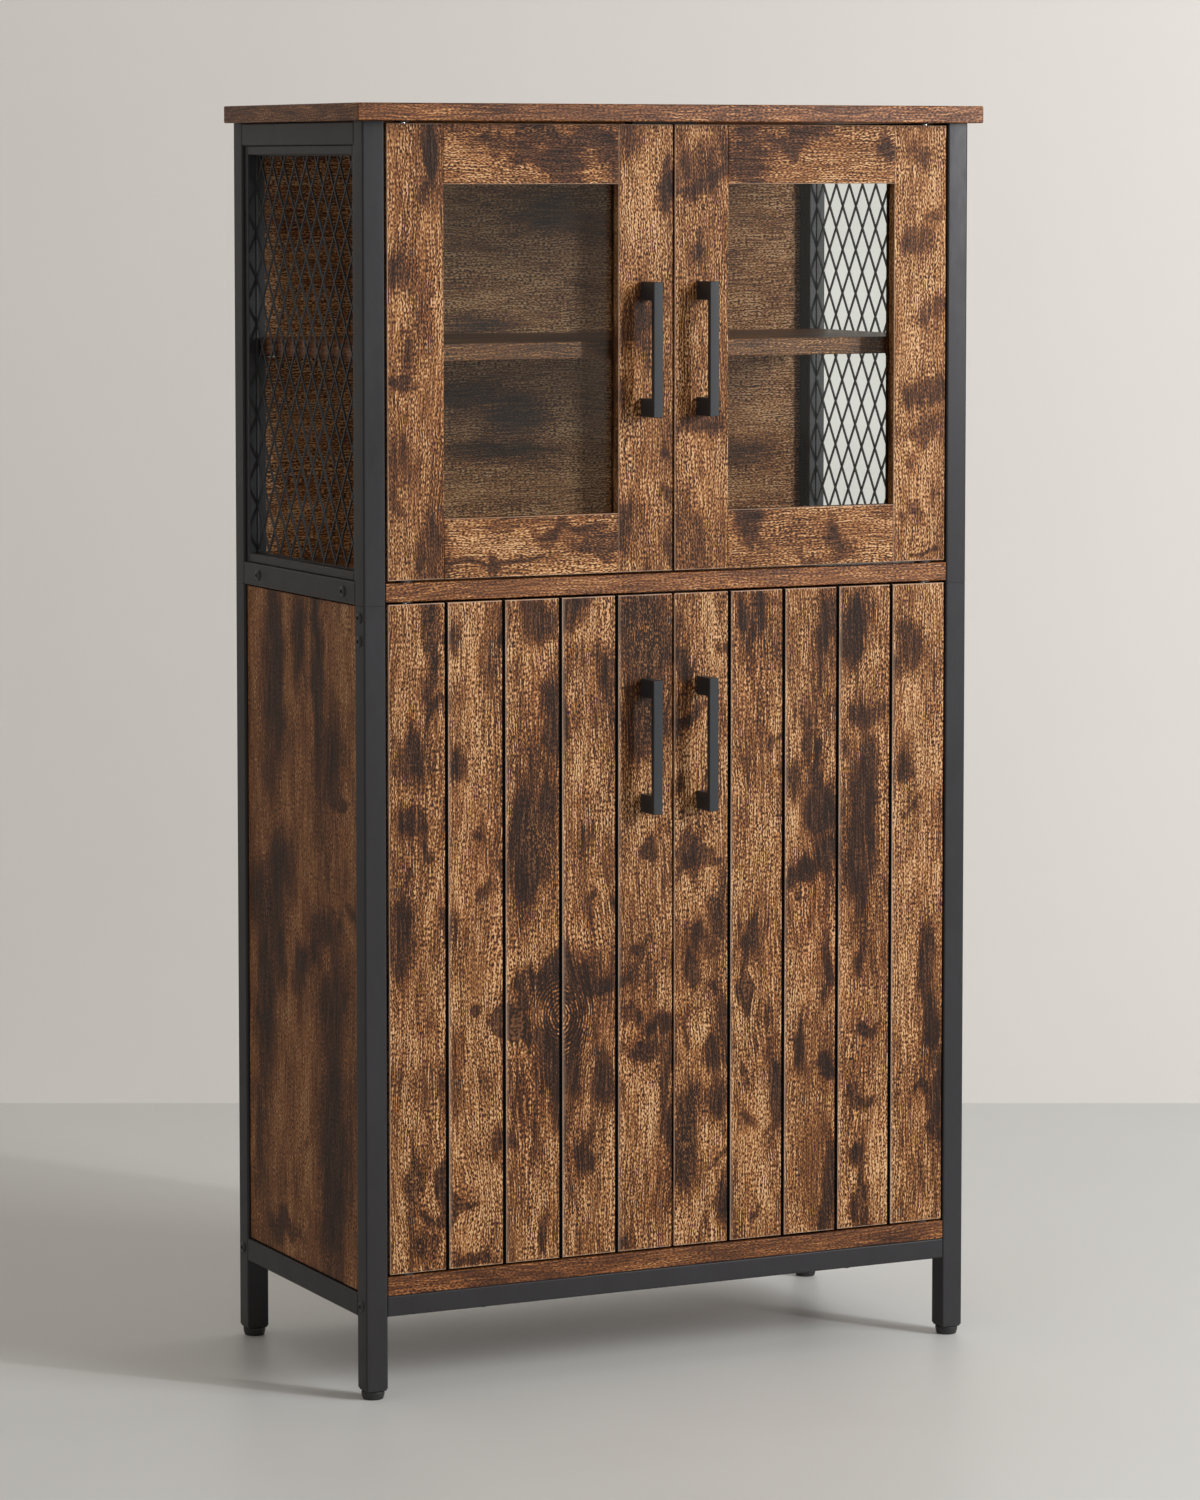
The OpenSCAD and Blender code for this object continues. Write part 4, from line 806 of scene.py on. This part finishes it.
def grooved(centres):
    def shape(v, n):
        v, n = v.copy(), n.copy()
        ink, arris_highlight = np.zeros(len(v)), np.zeros(len(v))
        front = v[:, 1] < 1.2
        for c in centres:
            o = v[:, 0] - c
            near = np.abs(o) <= 2.5001
            g = np.interp(o, GROOVE[:, 0], GROOVE[:, 1])
            slope = (np.interp(o + 0.15, GROOVE[:, 0], GROOVE[:, 1]) - np.interp(o - 0.15, GROOVE[:, 0], GROOVE[:, 1])) / 0.3
            turn = near & front & (n[:, 1] < -0.5)
            n[turn, 0] = slope[turn]
            n[turn, 1] = -1.0
            v[near, 1] = g[near] + v[near, 1] * (15.0 - g[near]) / 15.0
            ink = np.where(near & (g > 0.3) & front, 1.0, ink)
            ink = np.where(near & (g > 0.3) & ~front & (v[:, 1] < 5), 1.0, ink)
            # painted highlight on the arris at the right side of each groove
            arris_highlight = np.where(near & front & (o > 1.6), np.where(o < 2.2, 1.0, 0.25), arris_highlight)
        n /= np.linalg.norm(n, axis=1)[:, None]
        return v, n, ink, arris_highlight
    return shape


for side, nm in ((-1, "lower_left_"), (1, "lower_right_")):
    a, b = sorted((side * 269, side * 1))
    centres = [a + 53.6 * i for i in range(1, 5)]
    board(nm + "door_panel", (a, b), D, (107, 679), 1.0, "z", "front", "door_laminate", 18, (S, None, S),
          extra=([c + o for c in centres for o in GROOVE[:, 0]], (), ()), shape=grooved(centres),
          arris_highlight=frame_arris_highlight(left=True, top=True, bottom=True))

for side, nm in ((-1, "upper_left_"), (1, "upper_right_")):
    parts = []
    x0, x1 = sorted((side * 223, side * 47))
    for bx, bz in (((x0, x0 + 6), (744, 1038)), ((x1 - 6, x1), (744, 1038)),
                   ((x0 + 6.05, x1 - 6.05), (744, 750)), ((x0 + 6.05, x1 - 6.05), (1032, 1038))):
        v, q, n, s = grid_box(bx, (13, 15), bz, 0.5, m=1)
        parts.append((v, q, n))
    vs, qs, ns, base = [], [], [], 0
    for v, q, n in parts:
        vs.append(v); qs.append(q + base); ns.append(n[q].reshape(-1, 3)); base += len(v)
    vs, qs, ns = np.concatenate(vs), np.concatenate(qs), np.concatenate(ns)
    g = vs[qs].reshape(-1, 3)
    g = np.stack([g[:, 0] + g[:, 1], g[:, 2], np.zeros(len(g))], 1)
    plain = np.tile((-0.6, 0.0, 0.0), (len(vs), 1))
    zero = np.zeros((len(vs), 3))
    make(nm + "glass_beads", vs, qs, ns, nm + "glass_beads", "bead_laminate",
         {"grain": ("CORNER", g), "marks": ("POINT", plain), "lines": ("POINT", zero), "edges": ("POINT", zero)})
    v, q, n, s = grid_box((x0 + 0.5, x1 - 0.5), (10, 13), (744.5, 1037.5), 0.4, m=1)
    make(nm + "glass", v, q, n[q].reshape(-1, 3), nm + "glass", "clear_glass")


# ------------------------------------------------------------------ steel
class Parts:
    """Collects closed shapes into one mesh."""
    def __init__(self):
        self.v, self.f, self.n = [], [], []

    def add(self, v, f, n=None, turn=None):
        v = np.asarray(v, float)
        n = np.asarray(corner_normals(v, f) if n is None else n, float)
        if turn:
            v, n, f = turn(v, n, f)
        b = sum(len(a) for a in self.v)
        self.v.append(v)
        self.f += [tuple(int(i) + b for i in q) for q in f]
        self.n.append(n)
        return self

    def box(self, x, y, z, r=0.5, m=2):
        v, q, n, _ = grid_box(x, y, z, r, m=m)
        return self.add(v, [tuple(a) for a in q], n[q].reshape(-1, 3))

    def make(self, name, slot, nodes=None):
        return make(name, np.concatenate(self.v), self.f, np.concatenate(self.n), name, slot, nodes=nodes)


def ring_path(half, r, seg=4):
    """Round-cornered square, anticlockwise."""
    out = []
    for k, (sx, sy) in enumerate(((1, 1), (-1, 1), (-1, -1), (1, -1))):
        for i in range(seg + 1):
            a = math.radians(90 * k + 90 * i / seg)
            out.append((sx * (half[0] - r) + r * math.cos(a), sy * (half[1] - r) + r * math.sin(a)))
    return out


def tube(axis, centre, half, lo, hi, r=1.7, wall=1.2, end=0.3, inner=True):
    """A hollow tube of round-cornered square section along an axis ('y' or 'z')."""
    loops = []

    def loop(shrink, pos, rr):
        return [(px, py, pos) for px, py in ring_path((half[0] - shrink, half[1] - shrink), rr)]
    loops.append(loop(end, lo, r - end))
    loops.append(loop(0, lo + end, r))
    loops.append(loop(0, hi - end, r))
    loops.append(loop(end, hi, r - end))
    loops.append(loop(wall, hi, max(0.4, r - wall)))
    loops.append(loop(wall, lo, max(0.4, r - wall)))
    n = len(loops[0])
    v = [p for l in loops for p in l]
    f = []
    for k in range(len(loops)):
        a, b = k * n, ((k + 1) % len(loops)) * n
        for i in range(n):
            j = (i + 1) % n
            f.append((a + i, a + j, b + j, b + i))
    v = np.array(v)
    if axis == "z":
        v = v[:, [0, 1, 2]] + np.array([centre[0], centre[1], 0])
    else:                                            # section in x and z, length along y
        v = v[:, [0, 2, 1]] + np.array([centre[0], 0, centre[1]])
        f = [tuple(reversed(q)) for q in f]
    return v, f


def weld(parts, p, q, width=1.1):
    """A small fillet of weld along the inner corner between two faces, from p to q (along x or z)."""
    p, q = np.array(p, float), np.array(q, float)
    d = (q - p) / np.linalg.norm(q - p)
    n = 8
    other = np.array([0, 1.0, 0])
    third = np.cross(d, other)
    count = max(2, int(np.linalg.norm(q - p) / 1.2))
    v, f = [], []
    for i in range(count + 1):
        c = p + (q - p) * i / count
        w = width * (0.9 + 0.12 * math.sin(i * 1.9)) * (0.35 if i in (0, count) else 1.0)
        for k in range(n):
            a = 2 * math.pi * k / n
            v.append(c + (other * math.cos(a) + third * math.sin(a)) * w * 0.62)
    for i in range(count):
        for k in range(n):
            j = (k + 1) % n
            f.append((i * n + k, i * n + j, (i + 1) * n + j, (i + 1) * n + k))
    f.append(tuple(range(n - 1, -1, -1)))
    f.append(tuple(count * n + k for k in range(n)))
    if np.dot(np.cross(other, third), d) < 0:
        f = [tuple(reversed(a)) for a in f]
    parts.add(v, f)


def mirrored(v, n, f):
    v, n = v.copy(), n.copy()
    v[:, 0] *= -1
    n[:, 0] *= -1
    out, k, m = [], 0, []
    for q in f:
        c = len(q)
        m.append(n[k:k + c][::-1])
        out.append(tuple(reversed(q)))
        k += c
    return v, np.concatenate(m), out


class Half(Parts):
    """Parts for the left half, mirrored when side is 1."""
    def __init__(self, side):
        super().__init__()
        self.side = side

    def add(self, v, f, n=None, turn=None):
        return super().add(v, f, n, mirrored if self.side > 0 else None)


XC = -XO + 10
for sd, nm in ((-1, "left"), (1, "right")):
    lower = Half(sd)
    lower.add(*tube("z", (XC, 10), (10, 10), 9, 678))
    lower.add(*tube("z", (XC, 278), (10, 10), 9, 678))
    lower.add(*tube("y", (XC, 80), (10, 10), 20.02, 267.98))
    for z in (130, 640):
        lower.box((-273.5, -272), (20.05, 38), (z - 10, z + 10), 0.4)
        lower.box((-273.5, -272), (250, 267.95), (z - 10, z + 10), 0.4)
    for z in (130, 393, 648):
        lower.box((-270.95, -255), (286.5, 288), (z - 9, z + 9), 0.4)
    for y in (20, 268):
        for z in (70.2, 89.8):
            weld(lower, (XC - 7, y, z), (XC + 7, y, z))
        for x in (-290.6, -271.4):
            weld(lower, (x, y, 73), (x, y, 87))
    lower.make("lower_frame_" + nm, "frame_steel")
    upper = Half(sd)
    upper.add(*tube("z", (XC, 10), (10, 10), 678, 1085))
    upper.add(*tube("z", (XC, 278), (10, 10), 678, 1085))
    upper.add(*tube("y", (XC, 1075), (10, 10), 20.02, 267.98))
    upper.add(*tube("y", (XC, 688), (10, 10), 20.02, 267.98))
    for y in (62, 226):
        upper.box((-270.95, -255), (y - 9, y + 9), (1083.5, 1085), 0.4)
    for z in (722, 891, 1057):
        upper.box((-270.95, -255), (286.5, 288), (z - 9, z + 9), 0.4)
    for y in (20, 268):
        for z in (697.8, 1065.2):
            weld(upper, (XC - 7, y, z), (XC + 7, y, z))
        for x in (-290.6, -271.4):
            weld(upper, (x, y, 681), (x, y, 695))
            weld(upper, (x, y, 1068), (x, y, 1082))
    upper.make("upper_frame_" + nm, "frame_steel")
    bars = Half(sd)
    bars.add(*tube("z", (-280.5, 24), (8, 4), 698, 1065, r=1.0, wall=1.0, end=0.1))
    bars.add(*tube("z", (-280.5, 264), (8, 4), 698, 1065, r=1.0, wall=1.0, end=0.1))
    bars.add(*tube("y", (-280.5, 702), (8, 4), 28.03, 259.97, r=1.0, wall=1.0, end=0.1))
    bars.add(*tube("y", (-280.5, 1061), (8, 4), 28.03, 259.97, r=1.0, wall=1.0, end=0.1))
    bars.box((-278.5, -262.5), (28.05, 42), (880.5, 882), 0.4)
    bars.box((-278.5, -262.5), (246, 259.95), (880.5, 882), 0.4)
    bars.make("mesh_frame_" + nm, "frame_steel")

for nm, y in (("front_rail", 0), ("rear_rail", 268)):
    p = Parts()
    v, f = tube("y", (y + 10, 80), (10, 9), -270.98, 270.98)
    v = v[:, [1, 0, 2]]
    p.add(v, [tuple(reversed(q)) for q in f])
    p.make(nm, "frame_steel")


# ------------------------------------------------------------------ turned pieces
def lathe(profile, seg=40):
    """Turns (r, h) points, given from the bottom of the axis outwards and up, about +Z."""
    v, f = [], []
    rows = []
    for r, h in profile:
        if r == 0:
            rows.append([len(v)])
            v.append((0, 0, h))
        else:
            rows.append(list(range(len(v), len(v) + seg)))
            v += [(r * math.cos(2 * math.pi * k / seg), r * math.sin(2 * math.pi * k / seg), h) for k in range(seg)]
    for a, b in zip(rows, rows[1:]):
        for k in range(seg):
            j = (k + 1) % seg
            if len(a) == 1:
                f.append((a[0], b[k], b[j])[::-1])
            elif len(b) == 1:
                f.append((a[k], a[j], b[0]))
            else:
                f.append((a[k], a[j], b[j], b[k]))
    return np.array(v, float), f


def arc(c, r, a0, a1, n):
    return [(c[0] + r * math.cos(math.radians(a0 + (a1 - a0) * i / n)), c[1] + r * math.sin(math.radians(a0 + (a1 - a0) * i / n))) for i in range(n + 1)]


FEET = {"front_left": (-281, 10), "front_right": (281, 10), "rear_left": (-281, 278), "rear_right": (281, 278)}
for nm, (x, y) in FEET.items():
    prof = [(0, 0), (7.0, 0)] + arc((8.0, 0.9), 0.9, -75, -10, 3) + [(9.35, 2.2), (9.95, 4.6)] + arc((9.1, 6.3), 0.9, 0, 88, 4) + \
           [(8.2, 7.2), (4.6, 7.2), (4.2, 7.5), (4.0, 7.9)]
    z = 8.4
    while z < 30:                                    # thread of the stem
        prof += [(3.55, z), (4.0, z + 0.55)]
        z += 1.25
    prof += [(3.6, 31.3), (3.0, 32), (0, 32)]
    v, f = lathe(prof)
    Parts().add(v + np.array([x, y, 0]), f).make("foot_" + nm, "black_plastic")

plugs = Parts()
for x, y in FEET.values():
    def sleeve(half, r_hole, z0, z1, r):
        outer = ring_path((half, half), r, 5)
        n = len(outer)
        circle = [(r_hole * math.cos(2 * math.pi * (i + 0.0) / n), r_hole * math.sin(2 * math.pi * (i + 0.0) / n)) for i in range(n)]
        e = 0.35
        small = ring_path((half - e, half - e), max(0.2, r - e), 5)
        loops = [[(*p, z0) for p in small], [(*p, z0 + e) for p in outer], [(*p, z1 - e) for p in outer], [(*p, z1) for p in small],
                 [(*p, z1) for p in circle], [(*p, z0) for p in circle]]
        v = [(px + x, py + y, pz) for l in loops for (px, py, pz) in l]
        f = []
        for k in range(len(loops)):
            a, b = k * n, ((k + 1) % len(loops)) * n
            for i in range(n):
                j = (i + 1) % n
                f.append((a + i, a + j, b + j, b + i))
        return v, f
    plugs.add(*sleeve(9.2, 4.15, 7.4, 9.0, 1.6))
    plugs.add(*sleeve(8.7, 4.15, 9.05, 25, 0.8))
plugs.make("leg_plugs", "black_plastic")


def button_bolt(r, length, socket=1.8, flat=False):
    """A bolt along +Z whose head lies below z = 0, with a hexagonal socket."""
    seg = 36
    if flat:
        head = [(r + 1.2, 0.02), (r + 1.1, 0.0)]
        rim, floor_z, cone = 0.0, 0.85, [(r, 1.2), (r + 1.2, 0.02)]
    else:
        head = [(4.7, 0.0), (4.7, -0.35)] + [(4.7 * math.cos(a), -0.35 - 1.75 * math.sin(a)) for a in (0.25, 0.5, 0.75, 0.95, 1.1)]
        rim, floor_z, cone = -2.1, -0.8, [(r, 0.0)]
    prof = cone + head[(1 if flat else 0):]
    v, f, rows = [], [], []
    for pr, ph in [(r, length), *prof]:
        rows.append(list(range(len(v), len(v) + seg)))
        v += [(pr * math.cos(2 * math.pi * k / seg), pr * math.sin(2 * math.pi * k / seg), ph) for k in range(seg)]

    def hexa(rad, h):
        rows.append(list(range(len(v), len(v) + seg)))
        for k in range(seg):
            a = 2 * math.pi * k / seg
            d = rad * math.cos(math.pi / 6) / math.cos((a % (math.pi / 3)) - math.pi / 6)
            v.append((d * math.cos(a), d * math.sin(a), h))
    hexa(socket + 0.25, rim)
    hexa(socket, rim + 0.2)
    hexa(socket, floor_z)
    for a, b in zip(rows, rows[1:]):
        for k in range(seg):
            j = (k + 1) % seg
            f.append((a[k], b[k], b[j], a[j]))
    top, bot = len(v), len(v) + 1
    v += [(0, 0, length), (0, 0, floor_z + 0.25)]
    for k in range(seg):
        j = (k + 1) % seg
        f.append((top, rows[0][k], rows[0][j]))
        f.append((rows[-1][k], bot, rows[-1][j]))
    return np.array(v, float), [q for q in f]


def aim(v, direction, place):
    """Turns +Z to direction and moves to place."""
    d = np.array(direction, float)
    up = np.array([0, 0, 1.0]) if abs(d[2]) < 0.9 else np.array([1.0, 0, 0])
    a = np.cross(up, d)
    a /= np.linalg.norm(a)
    b = np.cross(d, a)
    return v @ np.stack([a, b, d]) + np.array(place, float)


bolts = Parts()
for sd in (-1, 1):
    for y in (10, 278):
        v, f = button_bolt(3, 32)
        bolts.add(aim(v, (-sd, 0, 0), (sd * XO, y, 80)), f)
        v, f = button_bolt(2.5, 28)
        bolts.add(aim(v, (0, 0, 1), (sd * 178, y, 71)), f)
    for y in (45, 235):
        v, f = button_bolt(3, 36)
        bolts.add(aim(v, (-sd, 0, 0), (sd * XO, y, 688)), f)
    for z in (668, 648):
        v, f = button_bolt(2.5, 8)
        bolts.add(aim(v, (-sd, 0, 0), (sd * XO, 10, z)), f)
        v, f = button_bolt(2.5, 8, 1.4, flat=True)
        bolts.add(aim(v, (0, -1, 0), (sd * 281, 288, z)), f)
bolts.make("frame_bolts", "bolt_black")


# ------------------------------------------------------------------ handles
def handle(name, side, zc):
    xc = side * 27.0
    outline = [(-25, -58), (0, -58), (0, -42), (-20, -42), (-20, 42), (0, 42), (0, 58), (-25, 58)]
    bm = bmesh.new()
    vs = [bm.verts.new((xc - 4.5, y, zc + z)) for y, z in outline]
    fc = bm.faces.new(vs)
    ex = bmesh.ops.extrude_face_region(bm, geom=[fc])
    bmesh.ops.translate(bm, vec=(9, 0, 0), verts=[g for g in ex["geom"] if isinstance(g, bmesh.types.BMVert)])
    bmesh.ops.recalc_face_normals(bm, faces=bm.faces)
    edges = [e for e in bm.edges if not all(abs(v.co.y) < 1e-6 for v in e.verts)]
    bmesh.ops.bevel(bm, geom=edges, offset=0.8, segments=3, profile=0.5, affect="EDGES")
    bmesh.ops.recalc_face_normals(bm, faces=bm.faces)
    bm.verts.index_update()
    v = [tuple(x.co) for x in bm.verts]
    f = [tuple(x.index for x in q.verts) for q in bm.faces]
    bm.free()
    Parts().add(v, f).make(name, "handle_black")


for side, nm, zc in ((-1, "upper_left_handle", 890.5), (1, "upper_right_handle", 890.5), (-1, "lower_left_handle", 548.5), (1, "lower_right_handle", 548.5)):
    handle(nm, side, zc)

# ------------------------------------------------------------------ pieces kept from the construction
SLOT_OF = {s["node"]: s["material_slot"] for s in frame["record"]["subparts"]}
for nm, ob in frame["nodes"].items():
    slot = SLOT_OF[nm]
    ob.data.materials.clear()
    ob.data.materials.append(MAT[slot])
    if slot.endswith("laminate"):
        n = len(ob.data.vertices)
        for key, val in (("grain", None), ("marks", (-0.34, 0, 0)), ("lines", (0, 0, 0)), ("edges", (0, 0, 0))):
            if key not in ob.data.attributes:
                a = ob.data.attributes.new(key, "FLOAT_VECTOR", "POINT")
                if val is None:
                    co = np.zeros(n * 3, np.float32)
                    ob.data.vertices.foreach_get("co", co)
                    a.data.foreach_set("vector", co * 1000.0)
                else:
                    a.data.foreach_set("vector", np.tile(np.array(val, np.float32), n))

# ------------------------------------------------------------------ room
def stage_material(name, colour, rough, spread, one_sided=False, spec=0.5):
    t = Tree(name)
    p = t.add("ShaderNodeTexCoord").outputs["Object"]
    cloud = t.noise(p, (0.9, 0.9, 0.9), detail=4.0, rough=0.55, dims="3D")
    fine = t.noise(p, (6.0, 6.0, 6.0), (4, 4, 4), detail=5.0, rough=0.6, dims="3D")
    v = t.math("MULTIPLY_ADD", fine, 0.4, t.math("MULTIPLY", cloud, 0.6))
    a = tuple(c * (1 - spread) for c in colour) + (1.0,)
    b = tuple(min(1.0, c * (1 + spread)) for c in colour) + (1.0,)
    bsdf = t.principled(Base_Color=t.ramp(v, [(0.35, a), (0.65, b)]), Roughness=t.fit(v, 0.3, 0.7, rough - 0.05, rough + 0.05),
                        Specular_IOR_Level=spec)
    if one_sided:
        geo = t.add("ShaderNodeNewGeometry")
        clear = t.add("ShaderNodeBsdfTransparent")
        m = t.add("ShaderNodeMixShader")
        t.put(m.inputs[0], geo.outputs["Backfacing"])
        t.nt.links.new(bsdf.outputs[0], m.inputs[1])
        t.nt.links.new(clear.outputs[0], m.inputs[2])
        t.nt.links.new(m.outputs[0], t.out.inputs["Surface"])
    return t.mat


def sheet(name, corners, mat):
    me = bpy.data.meshes.new(name)
    me.from_pydata([tuple(c) for c in corners], [], [(0, 1, 2, 3)])
    ob = bpy.data.objects.new(name, me)
    scene.collection.objects.link(ob)
    me.materials.append(mat)
    return ob


R = 14.0
sheet("floor", [(-R, -R, 0), (R, -R, 0), (R, R, 0), (-R, R, 0)], stage_material("floor", (0.62, 0.622, 0.61), 0.42, 0.025, spec=0.35))
look = Vector((math.sin(YAW), math.cos(YAW), 0.0))
across = Vector((math.cos(YAW), -math.sin(YAW), 0.0))
foot = Vector((cam.location.x, cam.location.y, 0)) + look * 5.672
w0, w1 = foot - across * 12.0, foot + across * 12.0
up = Vector((0, 0, 6.0))
sheet("wall", [w0, w1, w1 + up, w0 + up], stage_material("wall", (0.745, 0.726, 0.697), 0.8, 0.012, one_sided=True, spec=0.2))

world = bpy.data.worlds.new("world")
world.use_nodes = True
bg = world.node_tree.nodes["Background"]
bg.inputs["Color"].default_value = (1.0, 0.935, 0.86, 1.0)
bg.inputs["Strength"].default_value = 0.43
scene.world = world


def area_light(name, place, target, size, power, colour=(1, 1, 1)):
    d = bpy.data.lights.new(name, "AREA")
    d.shape = "RECTANGLE"
    d.size, d.size_y = size
    d.energy = power
    d.color = colour
    ob = bpy.data.objects.new(name, d)
    scene.collection.objects.link(ob)
    ob.location = place
    ob.rotation_euler = (Vector(target) - Vector(place)).to_track_quat("-Z", "Y").to_euler()
    return ob


key = area_light("key", (3.4, -4.2, 3.1), (0.0, 0.3, 0.7), (2.4, 2.4), 202, (0.985, 1.0, 1.0))
key.visible_glossy = False
area_light("side_box", (1.95, -2.8, 1.45), (0.2, 0.0, 0.85), (0.13, 1.3), 50, (0.97, 0.98, 1.0))
for i, z in enumerate((0.73, 0.85, 0.97)):
    pool = bpy.data.lights.new("wall_pool_%d" % i, "SPOT")
    pool.energy, pool.spot_size, pool.spot_blend, pool.shadow_soft_size = 0.42, math.radians(46), 1.0, 0.03
    pool_ob = bpy.data.objects.new("wall_pool_%d" % i, pool)
    scene.collection.objects.link(pool_ob)
    pool_ob.location = foot + across * 0.262 - look * 0.32 + Vector((0, 0, z))
    pool_ob.rotation_euler = look.to_track_quat("-Z", "Y").to_euler()

scene.view_settings.view_transform = "Standard"
scene.view_settings.look = "None"
scene.view_settings.exposure = 0.0
scene.view_settings.gamma = 1.0
